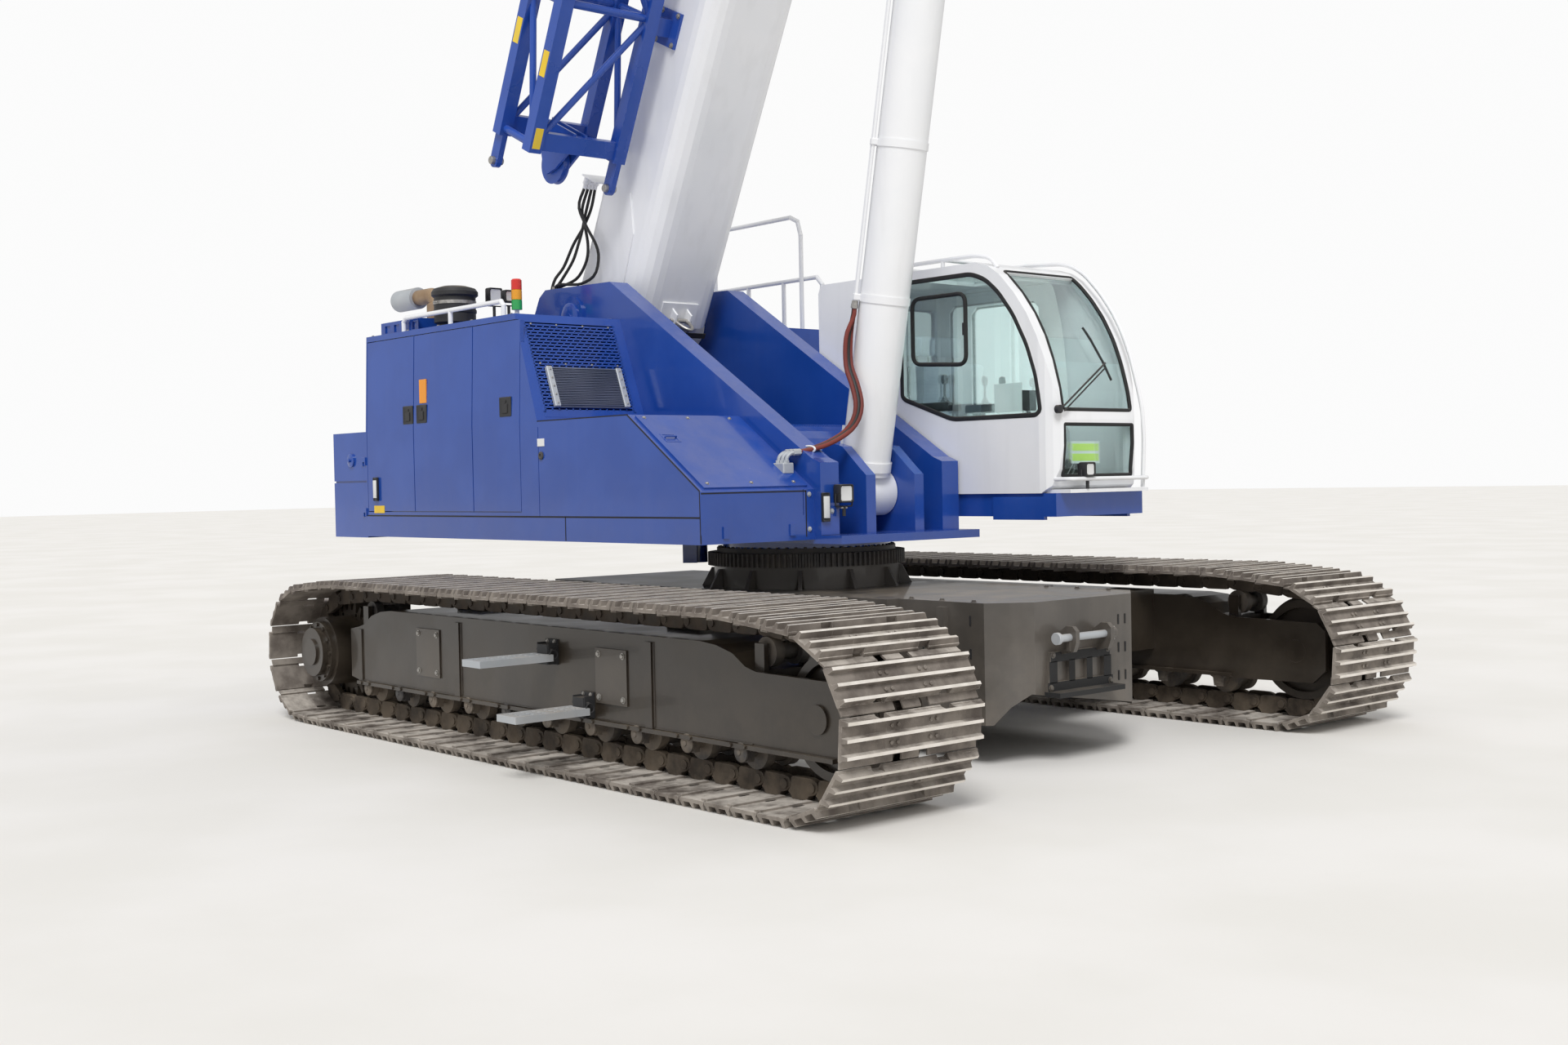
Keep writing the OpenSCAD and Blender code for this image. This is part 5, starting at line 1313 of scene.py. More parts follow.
@dataclass
class SideFrameTrim(Trim):
    """Bolts, cover plates, roller caps and weld beads of a side frame, and its steps' brackets."""

    left: bool
    outer_y: float = 2.18
    plates: tuple[float, float] = (-1.28, 0.72)
    plate_low: float = 0.395
    rollers: int = 10
    roller_reach: float = 1.96
    slot = "chassis_paint"

    def put(self, name: str, parts: list[Piece], finish: Finish, **where: object) -> Piece:
        """Mirrors a fitting to this side and dresses it.

        Args:
            name: name of the fitting on either side.
            parts: its parts, modelled on the right.
            finish: its finish.
            where: not used.

        Returns:
            The fitting.
        """
        side = "left" if self.left else "right"
        obj = joined(f"{name}_{side}", parts)
        settle(obj, MACHINE @ MIRROR_Y if self.left else MACHINE)
        if self.left:
            flipped(obj)
        return dressed(obj, Body(f"side_{side}"), finish)

    def build(self) -> None:
        """Models the trim of one side."""
        y, low = -self.outer_y, self.plate_low
        # The cover plates' lighter finish is a painted highlight.
        covers = [block((x - 0.001, y - 0.0092, low - 0.001), (x + 0.291, y - 0.007, low + 0.301), 0.0008)
                  for x in self.plates]
        self.put("inspection_plates", covers, PLATE_BROWN_PAINTED_HIGHLIGHT)
        corners = tuple(product((0.032, 0.258), (0.032, 0.268)))
        places = [(x + dx, y - 0.0092, low + dz) for x in self.plates for dx, dz in corners]
        self.screws("plate_bolts", places, Axis.MINUS_Y, 0.013)
        roller_x = [2 * self.roller_reach * i / (self.rollers - 1) - self.roller_reach for i in range(self.rollers)]
        places = [(x + dx, y - 0.026, 0.289) for x in roller_x for dx in (-0.055, 0.055)]
        self.screws("roller_bolts", places, Axis.MINUS_Y, 0.011, False, CHASSIS)
        profile = [(0.05, 0), (0.05, 0.012), (0.036, 0.02), (0.012, 0.02), (0.012, 0.026)]
        caps = [turned(profile, (x, y + 0.004, 0.2553), Axis.MINUS_Y, 20) for x in roller_x]
        self.put("roller_caps", caps, MACHINERY)
        runs = [((x, y - 0.001, 0.31), (x, y - 0.001, 0.752)) for x in (-0.806, -0.734, 1.174, 1.246)]
        runs.append(((-2.05, y - 0.001, 0.303), (2.05, y - 0.001, 0.303)))
        self.put("weld_beads", [tube(list(run), 0.0055, sides=1) for run in runs], CHASSIS)
        self.step_brackets()

    def step_brackets(self) -> None:
        """Models the black hinge bracket, pin and locking ring behind each step."""
        y, parts = -self.outer_y, []
        for x, z in STEPS:
            parts.append(block((x - 0.055, y - 0.0125, z - 0.025), (x + 0.055, y - 0.012, z + 0.115), 0))
            for u in (x - 0.058, x + 0.052):
                cheek = [(u, z - 0.02), (u + 0.006, z - 0.02), (u + 0.006, z + 0.1), (u, z + 0.1)]
                parts.append(plate(cheek, y - 0.07, 0.056, 0.001))
            parts.append(rod((x - 0.08, y - 0.052, z + 0.06), (x + 0.08, y - 0.052, z + 0.06), 0.009, 12, 0.002))
            ring = [Vector((x + 0.085, y - 0.052 + 0.026 * c, z + 0.036 + 0.026 * s)) for c, s in circle(16)]
            parts.append(tube(ring, 0.0035, closed=True, sides=1))
        for x, z in STEPS:
            parts += [block((x - 0.0515, y - 0.0735, z - 0.0215), (x + 0.0515, y + 0.0005, z + 0.0915), 0.001),
                      block((x - 0.0565, y - 0.0135, z - 0.0265), (x + 0.0565, y + 0.0005, z + 0.1165), 0.001)]
        self.put("step_brackets", parts, PLASTIC, slot="step_alloy")
        places = [(x + dx, y - 0.0135, z + 0.103) for x, z in STEPS for dx in (-0.035, 0.035)]
        self.screws("step_bolts", places, Axis.MINUS_Y, 0.009, slot="step_alloy")


@dataclass
class CarBodyTrim(Trim):
    """Bolts of the slewing ring, slotted tabs, tow bracket and tow pin of the front box."""

    ring_radius: float = 0.575
    ring_bolts: int = 60
    ring_z: float = 1.1547
    pin_x: float = 2.415
    pin_z: float = 0.7
    tow_y: float = -0.065
    body = Body.CARBODY
    slot = "chassis_paint"

    def build(self) -> None:
        """Models the trim of the car body."""
        places = [(self.ring_radius * c, self.ring_radius * s, self.ring_z) for c, s in circle(self.ring_bolts)]
        self.screws("ring_bolts", places, Axis.Z, 0.0095, False, MACHINERY, slot="dark_steel")
        tabs = [block((2.33, y - 0.006, z - 0.028), (2.334, y + 0.006, z + 0.028), 0.001)
                for y in (0.36, 0.3) for z in (0.44, 0.6, 0.76)]
        tabs += [block((x - 0.006, -0.639, z - 0.028), (x + 0.006, -0.635, z + 0.028), 0.001)
                 for x in (1.5, 1.7, 2.06) for z in (0.46, 0.62, 0.8)]
        self.put("box_slots", tabs, RUBBER)
        x, z = self.pin_x, self.pin_z
        clip = [Vector((x + 0.02 * c, 0.16, z + 0.02 * s)) for c, s in circle(14)]
        parts = [tube(clip, 0.003, closed=True, sides=1),
                 rod((x, 0.155, z - 0.04), (x, 0.155, z + 0.035), 0.005, 8, 0.001)]
        self.put("tow_pin_clip", parts, ZINC)
        spans = ((-0.344, 0.214, 0.405, 0.455), (-0.318, 0.188, 0.565, 0.618), (-0.33, -0.265, 0.45, 0.57),
                 (-0.165, -0.115, 0.45, 0.57), (-0.015, 0.035, 0.45, 0.57), (0.135, 0.2, 0.45, 0.57))
        skin = [block((2.3545, y0, z0), (2.3562, y1, z1), 0.0004) for y0, y1, z0, z1 in spans]
        skin.append(block((2.33, -0.346, 0.378), (2.442, 0.216, 0.4065), 0.002))
        self.put("tow_bracket_skin", skin, RUBBER)
        pin = [rod((x, -0.33, z), (x, 0.14, z), 0.0212, 20, 0.002),
               rod((x, -0.346, z), (x, -0.322, z), 0.034, 20, 0.003)]
        self.put("tow_pin_skin", pin, TREAD_ALLOY)
        places = [(2.3562, self.tow_y + dy, 0.425) for dy in (-0.255, 0.255)]
        places += [(2.355, self.tow_y + dy, 0.605) for dy in (-0.235, 0.235)]
        self.screws("tow_bolts", places, Axis.X, 0.013, finish=BOX_GREY)
        self.screws("lid_bolts", product((1.56, 1.8, 2.04), (-0.585, 0.585), (0.9,)), Axis.Z, 0.012, finish=BOX_GREY)


# Upper structure


@dataclass
class UpperTrim(Trim):
    """Latches, lamps, plates, grille, joint lines and fasteners of the upper structure."""

    side_y: float = -UPPER_Y
    exhaust_y: float = -1.06
    cleaner_x: float = -2.5
    roof_columns: tuple[float, ...] = (-3.24, -2.7, -2.26, -1.8, -1.29)
    rail_feet: tuple[tuple[float, float], ...] = (
        (-2.88, -1.36), (-2.2, -1.36), (-1.49, -1.36), (-2.6, 1.32), (-2.13, 1.32), (-1.7, 1.32), (-1.25, 1.32),
        (-2.48, 1.26), (-1.42, 1.26))
    grille_rows: int = 26
    grille_columns: int = 13

    def latches(self) -> None:
        """Models the paddle latch in each door's recess."""
        y, z = self.side_y + 0.004, CREASE_Z + 0.108
        profile = [(0.01, 0), (0.01, 0.004), (0.004, 0.004), (0.003, 0.002)]
        for body, x in ((Body.DOOR_REAR, -2.65), (Body.DOOR_MID, -2.45), (Body.DOOR_FRONT, -1.32)):
            cup = block((x - 0.072, y - 0.008, z - 0.064), (x + 0.072, y + 0.004, z + 0.066))
            paddle = block((x - 0.034, y - 0.009, z - 0.042), (x + 0.026, y - 0.002, z + 0.02), 0.003)
            keyhole = turned(profile, (x, y - 0.003, z + 0.036), Axis.MINUS_Y, 16)
            parts = [sunk(cup, Axis.MINUS_Y, 0.012, -0.005), paddle, keyhole]
            self.put(f"latch_{body.value}", parts, PLASTIC, body=body)

    def plates(self) -> None:
        """Models the bare plates, the reflector, the marker lamps and the key lock."""
        y = self.side_y
        spots = (("orange_reflector", (-2.482, 2.185), (-2.385, 2.354), ORANGE, Body.DOOR_MID),
                 ("pale_plate_side", (-0.935, 1.835), (-0.855, 1.885), PALE_LABEL, Body.UPPER))
        for name, (x0, z0), (x1, z1), finish, body in spots:
            lean = 0.025 * max(0.0, z0 - CREASE_Z) / (HOOD_TOP - CREASE_Z)
            tag = block((x0, y + lean - 0.004, z0), (x1, y + lean + 0.006, z1), 0.0015)
            self.put(name, [tag], finish, body=body)
        self.put("yellow_plate_side", [block((-3.198, y - 0.003, 1.4), (-3.04, y + 0.002, 1.455), 0.001)], YELLOW)
        profile = [(0.026, 0), (0.026, 0.008), (0.02, 0.012), (0.012, 0.012), (0.01, 0.006)]
        self.put("hood_lock", [turned(profile, (-0.893, y, 1.775), Axis.MINUS_Y, 24)], MACHINERY)
        self.marker("marker_lamp_rear", at(-3.149, y, 1.578), Axis.MINUS_Y)
        self.marker("marker_lamp_front", at(0.82, -0.57, 1.42), Axis.X)

    def marker(self, name: str, place: Vector, way: Axis) -> None:
        """Models an upright marker lamp: a black housing with a pale lens.

        Args:
            name: name of the lamp.
            place: middle of its foot, in the row frame.
            way: direction that it faces.
        """
        w, h, d = 0.03, 0.088, 0.022
        up, facing = Vector(Axis.Z.value), Vector(way.value)
        frame = Matrix.Translation(place) @ Matrix((up.cross(facing), up, facing)).transposed().to_4x4()
        housing = sunk(block((-w, -h, 0), (w, h, d), 0.006, 2), Axis.Z, 0.005, -0.006)
        lens = block((-w + 0.007, -h + 0.022, d - 0.008), (w - 0.007, h - 0.022, d + 0.002), 0.003, 2)
        self.put(name, [housing], PLASTIC, slot="plastic", frame=frame)
        self.put(f"{name}_lens", [lens], PALE_LABEL, slot="plastic", frame=frame)

    def lamp(self, name: str, place: Vector, body: Body, size: float = 0.055, stem: float = 0.075) -> None:
        """Models a square work lamp on its bracket, facing ahead.

        Args:
            name: name of the lamp.
            place: middle of its back, in the row frame.
            body: body that it rides on.
            size: half its width.
            stem: how far its foot reaches below it.
        """
        where = {"body": body, "slot": "plastic", "frame": Matrix.Translation(place)}
        shell = sunk(block((-0.035, -size, -size), (0.035, size, size), 0.01, 2), Axis.X, 0.008, -0.014)
        high, low, out = size * 0.8, -size - 0.022, size + 0.012
        fins = [block((-0.048, y, -high), (-0.03, y + 0.004, high), 0.001)
                for y in (size * 0.4 * k for k in range(-2, 3))]
        yoke = tube(rounded([(0, -out, 0), (0, -out, low), (0, out, low), (0, out, 0)], 0.015), 0.005, sides=1)
        foot = rod((0, 0, -size - stem), (0, 0, -size - 0.018), 0.011, 12, 0.002)
        self.put(name, [shell, yoke, foot, *fins], PLASTIC, **where)
        edge = size - 0.009
        face = sunk(block((0.0215, -edge, -edge), (0.0255, edge, edge), 0.001), Axis.X, size * 0.25, -0.003)
        self.put(f"{name}_face", [face], PALE_LABEL, **where)

    def hatch(self) -> None:
        """Models the recessed handle and edge screws of the sloping hatch."""
        run, drop = 0.7, 0.47
        frame = tilted(at(0.06, 0, CREASE_Z + 0.012), -math.atan2(drop, run))
        tray = sunk(block((0.245, -1.385, 0.0005), (0.335, -1.275, 0.0045), 0.003, 2), Axis.Z, 0.01, -0.003)
        path = [(0.29, y, z) for y, z in ((-1.37, 0.002), (-1.37, 0.016), (-1.29, 0.016), (-1.29, 0.002))]
        self.put("hatch_handle", [tray, tube(rounded(path, 0.012), 0.005)], BLUE, frame=frame)
        places = product((0.06, math.hypot(run, drop) - 0.06), (-1.38, -1.05, -0.72), (0.001,))
        self.screws("hatch_screws", places, Axis.Z, 0.009, frame=frame)

    def cooler(self) -> None:
        """Models the finned cooler core behind the grille."""
        parts = [block((-0.1, -1.36, z), (-0.05, -0.72, z + 0.05), 0.006) for z in (0.05, 0.66)]
        parts += repeated(block((-0.09, -1.35, 0.1), (-0.055, -0.73, 0.104), 0), raised(0.014, 40))
        self.put("cooler_core", parts, RUBBER, slot="dark_steel", frame=tilted(at(-1.06, 0, CREASE_Z), HOOD_LEAN))

    def grille(self) -> None:
        """Models the brick-pattern grille and the finned condenser on its face."""
        z0 = CREASE_Z + 0.031
        frame = tilted(at(-1.24 + (HOOD_TOP - z0) * math.tan(HOOD_LEAN), 0, z0), HOOD_LEAN)
        y0, y1, low, high, thick = -1.3997, -0.6603, 0.02, (HOOD_TOP - 0.064 - z0) / math.cos(HOOD_LEAN), 0.02
        rows, columns = self.grille_rows, self.grille_columns
        step_z, step_y = (high - low - 0.03) / rows, (y1 - y0 - 0.04) / columns
        parts = [block((0, a, low), (thick, a + 0.02, high), 0.001) for a in (y0, y1 - 0.02)]
        parts.append(block((0.004, y0, -0.012), (thick, y1, low + 0.012), 0.001))
        bar = block((0.012, y0 + 0.01, 0), (thick, y1 - 0.01, 0.012), 0)
        rib = block((0.012, -0.005, 0.006), (thick, 0.005, step_z + 0.006), 0)
        levels = [low + 0.01 + step_z * row for row in range(rows + 1)]
        spots = [(y0 + 0.02 + step_y * (k + 0.5 * (row % 2)), z)
                 for row, z in enumerate(levels[:-1]) for k in range(columns + 1)]
        parts += repeated(bar, [Matrix.Translation((0, 0, z)) for z in levels])
        parts += repeated(rib, [Matrix.Translation((0, y, z)) for y, z in spots if y < y1 - 0.01])
        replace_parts(self.put("grille_panel", parts, BLUE, frame=frame), "grille")
        where = {"slot": "dark_steel", "frame": frame}
        back = block((thick, -1.31, 0.055), (thick + 0.012, -0.72, 0.345), 0.002)
        tanks = [block((thick, y, 0.055), (thick + 0.03, y + 0.045, 0.345), 0.005) for y in (-1.315, -0.76)]
        fins = repeated(block((thick + 0.01, -1.27, 0.068), (thick + 0.024, -0.76, 0.0715), 0), raised(0.0125, 22))
        self.put("condenser", [back, *fins], CORE, **where)
        self.put("condenser_tanks", tanks, TREAD_ALLOY, **where)
        places = [(thick + 0.03, y, 0.08 + 0.06 * k) for y in (-1.292, -0.738) for k in range(5)]
        places += product((thick,), (-1.34, -1.14, -0.93, -0.72), (0.372, high - 0.012))
        self.screws("condenser_bolts", places, Axis.X, 0.007, False, **where)

    def joints(self) -> None:
        """Models the dark joint lines between the body panels."""
        y, low, high = self.side_y, 1.23, CREASE_Z - 0.01
        spans = (((-3.31, y - 0.0015, 1.376), (0.755, y + 0.002, 1.386)),
                 ((-0.635, y - 0.0015, low), (-0.626, y + 0.002, 1.38)),
                 ((0.7585, -1.465, 1.516), (0.7618, -0.662, 1.524)),
                 ((0.7585, -0.67, 1.245), (0.7618, -0.662, 1.524)),
                 ((0.8185, -0.598, 1.245), (0.8215, -0.452, 1.252)))
        slope = [(x, y + 0.001, z) for x, z in ((0.062, high + 0.006), (0.752, 1.534), (0.757, low))]
        crease = [(x, y + 0.001, CREASE_Z - 0.001) for x in (-0.935, 0.062)]
        lines = [block(*span, 0.0004) for span in spans]
        lines += [tube(slope, 0.0045, sides=1), tube(crease, 0.004, sides=1)]
        self.put("joint_lines", lines, SEAL)
        places = [(0.76, -0.64, 1.5), (0.76, -0.64, 1.29), (0.82, -0.51, 1.395)]
        self.screws("front_bolts", places, Axis.X, 0.011, finish=TREAD_ALLOY)

    def roof(self) -> None:
        """Models roof screws, the rails' foot plates, the cleaner's clamp and the exhaust's end."""
        self.screws("roof_screws", product(self.roof_columns, (-1.425, -0.63), (HOOD_TOP,)), Axis.Z, 0.01)
        profile = [(0.034, 0), (0.034, 0.006), (0.02, 0.008), (0.0185, 0.012)]
        feet = [turned(profile, (x, y, HOOD_TOP), Axis.Z, 20) for x, y in self.rail_feet]
        self.put("rail_feet", feet, WHITE, slot="white_paint")
        places = [(x + dx, y, HOOD_TOP + 0.006) for x, y in self.rail_feet for dx in (-0.026, 0.026)]
        self.screws("rail_screws", places, Axis.Z, 0.006, False, slot="white_paint")
        x, z = self.cleaner_x, HOOD_TOP + 0.197
        band = hoop(0.1515, 0.024, 0.003, (x, -1.15, z - 0.012), Axis.Z)
        knob = rod((x, -1.325, z), (x + 0.04, -1.315, z), 0.007, 8, 0.001)
        self.put("cleaner_clamp", [band, knob], ZINC, slot="plastic")
        profile = [(0.06, 0), (0.082, 0.004), (0.082, 0.3), (0.076, 0.3), (0.072, 0.05), (0.0, 0.048)]
        outlet = turned(profile, (-3.19, self.exhaust_y, 3.025), Axis.MINUS_X)
        self.put("exhaust_outlet", [outlet], TREAD_ALLOY, slot="exhaust_steel")
        profile = [(0.074, 0), (0.086, 0.004), (0.086, 0.11), (0.06, 0.124)]
        wrap = turned(profile, (-2.9, self.exhaust_y, 2.839), Axis.Z)
        self.put("exhaust_wrap", [wrap], EXHAUST, slot="exhaust_steel")

    def counterweight(self) -> None:
        """Models the fixing bolts, link plates and lifting pins of the counterweight."""
        places = product((-4.02,), (-1.1, -0.45, 0.45, 1.1), (1.56, 1.9))
        self.screws("weight_bolts", places, Axis.MINUS_X, 0.024, finish=BLUE)
        profile = [(0.052, 0), (0.052, 0.012), (0.04, 0.016), (0.014, 0.016), (0.014, 0.03)]
        pins = [turned(profile, (-3.55, s * UPPER_Y, 1.8), outward(s), 20) for s in (-1, 1)]
        for z in (1.407, 1.789):
            hook = [(-3.375, z - 0.035), (-3.355, z - 0.035), (-3.355, z - 0.005), (-3.33, z - 0.005),
                    (-3.33, z - 0.03), (-3.315, z - 0.03), (-3.315, z + 0.03), (-3.375, z + 0.03)]
            pins += [plate(hook, y, 0.012, 0.002) for y in (-UPPER_Y - 0.011, UPPER_Y - 0.001)]
        self.put("weight_pins", pins, BLUE)
        strips = [block((-4.024, y - 0.19, 1.7), (-4.019, y + 0.19, 1.745), 0.001) for y in (-0.85, 0.85)]
        self.put("tail_reflectors", strips, REFLECTOR)

    def carriers(self) -> None:
        """Models the pin caps on the boom carrier, the valve block ahead of it and the hoses' ports."""
        foot = [(0.105, 0), (0.105, 0.01), (0.092, 0.016), (0.03, 0.016), (0.03, 0.024)]
        drum = [(0.095, 0), (0.095, 0.012), (0.08, 0.018), (0.025, 0.018)]
        caps = []
        for s in (-1, 1):
            caps.append(turned(foot, (-1.8, s * 0.618, 2.78), outward(s)))
            caps += [turned(drum, (x, s * 0.6, 1.95), outward(s), 28) for x in (-2.22, -2.98)]
        self.put("pin_caps", caps, BLUE)
        manifold = block((0.515, -0.735, 1.625), (0.64, -0.65, 1.692), 0.006)
        stubs, elbows = [], []
        for i in range(3):
            end = Vector((0.64 - 0.036 * i, -0.62, 1.757))
            stubs.append(rod(end + Vector((0.004, 0.02, 0.001)), end - Vector((0.006, 0.03, 0.002)), 0.02, 6, 0.001))
            back = ((0, 0, 0), (0.01, 0.045, 0.004), (0.018, 0.072, 0.028), (0.02, 0.076, 0.068))
            bend = [end - Vector(p) for p in back]
            elbows.append(tube(rounded(bend, 0.016), 0.0125, sides=2))
            stub = [(0.019, 0), (0.019, 0.016), (0.014, 0.018)]
            stubs.append(turned(stub, end - Vector((0.02, 0.076, 0.066)), Axis.Z, 6))
        self.put("valve_block", [manifold, *stubs, *elbows], TREAD_ALLOY, slot="dark_steel")
        spots = ((-2.15, -0.52, 3.01), (-2.19, -0.5, 2.985), (-2.215, -0.48, 2.969), (-2.262, -0.48, 2.905))
        ports = [rod((x, y, z - 0.005), (x, y, z + 0.03), 0.019, 6, 0.001) for x, y, z in spots]
        bracket = block((0.818, -0.475, 1.408), (0.868, -0.425, 1.42), 0.002)
        tie = [(0.642 + 0.056 * c, -0.53, 1.773 + 0.02 * s) for c, s in circle(20)]
        self.put("hose_tie", [tube(tie, 0.007, closed=True, sides=1)], WHITE, slot="plastic")
        self.put("bulkhead_ports", [bracket, *ports], ZINC, slot="dark_steel")

    def build(self) -> None:
        """Models everything on the upper structure."""
        self.latches()
        self.plates()
        self.lamp("work_lamp_front", at(0.862, -0.45, 1.5), Body.UPPER, 0.056, 0.082)
        self.lamp("roof_lamp_rear", at(-2.37, -0.9, 2.975), Body.UPPER, 0.055, 0.201)
        self.lamp("roof_lamp_mid", at(-2.17, -0.9, 2.95), Body.UPPER, 0.045, 0.186)
        self.hatch()
        self.cooler()
        self.grille()
        self.joints()
        self.roof()
        self.counterweight()
        self.carriers()


# Cab


@dataclass
class CabFittings(Trim):
    """Seals, sliding pane, wiper, guard tubes, console, levers and seat of the cab."""

    side_window: tuple[tuple[float, float], ...] = (
        (0.3, 2.13), (0.33, 2.105), (0.76, 1.96), (1.47, 1.96), (1.5, 1.99), (1.47, 2.2), (1.4, 2.4),
        (1.29, 2.6), (1.17, 2.75), (1.06, 2.84), (0.94, 2.885), (0.34, 2.885), (0.3, 2.845))
    nose: tuple[tuple[float, float], ...] = (
        (1.605, 1.62), (1.622, 1.78), (1.62, 1.93), (1.59, 2.12), (1.54, 2.3), (1.48, 2.455), (1.4, 2.6),
        (1.3, 2.735), (1.18, 2.86), (1.09, 2.92), (0.98, 2.955))
    guard_y: tuple[float, float] = (0.7, 1.405)
    guard_z: float = 3.012
    pad_pressure: float = 4.0
    pad_reach: float = 0.014
    body = Body.CAB
    slot = "plastic"

    def seal(self, name: str, points: Iterable[Point], radius: float = 0.012, bend: float = 0.05, steps: int = 4,
             flat: float = 0.0, body: Body = Body.CAB) -> None:
        """Models the black seal round a window.

        Args:
            name: name of the seal.
            points: corners of the window.
            radius: radius of the seal.
            bend: how far from each corner its bend starts.
            steps: points round each bend.
            flat: how flat it is pressed against the cab's right wall, if at all.
            body: body that it rides on.
        """
        ring = tube(rounded(points, bend, steps, True), radius, closed=True, sides=2)
        if flat:
            wall = Matrix.Translation((0, CAB_Y, 0))
            ring.data.transform(wall @ Matrix.Scale(flat, 4, (0, 1, 0)) @ wall.inverted())
        self.put(name, [ring], RUBBER, body=body)

    def seals(self) -> None:
        """Models the seals of all windows, the pane's latch and the door's lock."""
        side = [(x, CAB_Y + 0.004, z) for x, z in self.side_window]
        self.seal("side_window_seal", side, 0.016, flat=0.5)
        pane = [(x, CAB_Y + 0.01, z) for x, z in ((0.4, 2.34), (0.88, 2.31), (0.88, 2.77), (0.4, 2.77))]
        self.seal("sliding_pane_seal", pane, 0.014, 0.07, 6)
        self.put("pane_latch", [block((0.855, CAB_Y, 2.5), (0.885, CAB_Y + 0.012, 2.58), 0.003)], PLASTIC)
        self.seal("windshield_seal", self.front_window(1.99, 2.885), 0.013, 0.03, 3)
        self.seal("foot_window_seal", self.front_window(1.58, 1.9), 0.012, 0.03, 3)
        y0, y1 = CAB_Y + 0.15, UPPER_Y - 0.15
        self.seal("roof_window_seal", [(x, y, 2.953) for x, y in ((0.33, y0), (0.9, y0), (0.9, y1), (0.33, y1))])
        rear = [(-0.52, y, z) for y, z in ((0.73, 2.15), (1.36, 2.15), (1.36, 2.83), (0.73, 2.83))]
        self.seal("rear_window_seal", rear)
        door = [(x, 1.499, z) for x, z in ((0.146, 1.8), (0.774, 1.8), (0.774, 2.78), (0.146, 2.78))]
        self.seal("door_window_seal", door, 0.012, 0.07, 5, body=Body.CAB_DOOR)
        lock = block((0.06, 1.498, 1.86), (0.12, 1.512, 1.98), 0.004, 2)
        self.put("door_lock", [lock], PLASTIC, body=Body.CAB_DOOR)

    def nose_x(self, z: float) -> float:
        """Gives the x of the cab's front at a height.

        Args:
            z: the height.

        Returns:
            The x of the outline there.
        """
        for (x0, z0), (x1, z1) in zip(self.nose, self.nose[1:]):
            if z0 <= z <= z1:
                return x0 + (x1 - x0) * (z - z0) / (z1 - z0)
        return self.nose[-1][0] if z > self.nose[-1][1] else self.nose[0][0]

    def on_nose(self, y: float, z: float, out: float) -> Vector:
        """Gives a point ahead of the cab's nose.

        Args:
            y: its y.
            z: its height.
            out: how far ahead of the nose it stands.

        Returns:
            The point.
        """
        return Vector((self.nose_x(z) + out, y, z))

    def front_window(self, z0: float, z1: float) -> list[Vector]:
        """Runs the outline of a front window along the cab's curved nose.

        Args:
            z0: bottom of the window.
            z1: top of the window.

        Returns:
            Its outline.
        """
        y0, y1, steps = CAB_Y + 0.09, UPPER_Y - 0.09, 16
        rise = [z0 + (z1 - z0) * k / steps for k in range(steps + 1)]
        return [self.on_nose(y0, z, -0.006) for z in rise] + [self.on_nose(y1, z, -0.006) for z in reversed(rise)]

    def wiper(self) -> None:
        """Models the wiper: a sprung arm, its blade and the motor cap."""
        pivot = self.on_nose(0.65, 1.99, 0.0)
        arm = [pivot, self.on_nose(0.67, 2.005, 0.036), self.on_nose(1.165, 2.29, 0.036)]
        brace = [self.on_nose(0.685, 1.98, 0.03), self.on_nose(1.155, 2.258, 0.034)]
        blade = [self.on_nose(1.205 - 0.015 * k, 2.18 + 0.0425 * k, 0.02) for k in range(9)]
        parts = [tube(path, radius, sides=1) for path, radius in ((arm, 0.007), (brace, 0.005), (blade, 0.008))]
        parts.append(turned([(0.026, 0), (0.026, 0.03), (0.016, 0.036)], pivot, Axis.X, 16))
        self.put("wiper", parts, PLASTIC)

    def guards(self) -> None:
        """Models the white guard tubes on the roof and ahead of the windshield."""
        stand, near, far, top = 0.065, *self.guard_y, self.guard_z
        front = [(1.675, 1.5), (1.69, 1.8), (1.68, 2.0)]
        front += [(x + stand * 0.8, z + stand * 0.55) for x, z in self.nose[3:]]
        front += [(0.7, top), (0.1, top), (0.06, 2.95)]
        side = [(0.02, 2.95), (0.06, top), (0.9, top), (1.04, 2.985), (1.1, 2.915)]
        tubes = [tube(rounded([(x, far, z) for x, z in front], 0.06, 3), 0.014),
                 tube(rounded([(x, near, z) for x, z in side], 0.06, 4), 0.014)]
        profile = [(0.028, 0), (0.028, 0.006), (0.014, 0.01), (0.012, 0.058)]
        for x in (0.12, 0.62):
            tubes.append(rod((x, near, top), (x, far, top), 0.011, 12))
            tubes += [turned(profile, (x, y, top - 0.058), Axis.Z, 16) for y in (near, far)]
        self.put("guard_tubes", tubes, WHITE, slot="white_paint")
        y0, y1 = 0.66, 1.43
        rail = [(1.5, y0, 1.5), (1.5, y0, 1.56), (1.71, y0, 1.56)]
        rail += [(1.71, y1, 1.56), (1.5, y1, 1.56), (1.5, y1, 1.5)]
        self.put("lip_rail", [tube(rounded(rail, 0.05), 0.013)], WHITE, slot="white_paint")

    def labels(self) -> None:
        """Models the bare stickers behind the panes and on the cab's side."""
        self.put("foot_window_plate", [block((1.56, 0.835, 1.656), (1.563, 1.11, 1.795), 0.0008)], PALE_LABEL)
        bands = [block((1.5625, 0.845, z), (1.5645, 1.1, z + 0.045), 0.0006) for z in (1.672, 1.735)]
        self.put("foot_window_bands", bands, GREEN_LABEL)
        self.put("side_window_sheet", [block((1.1, 0.65, 1.99), (1.33, 0.652, 2.17), 0.0006)], PALE_LABEL)
        self.put("cab_side_plate", [block((-0.42, 0.6175, 1.66), (-0.32, 0.6205, 1.72), 0.0008)], PALE_LABEL)

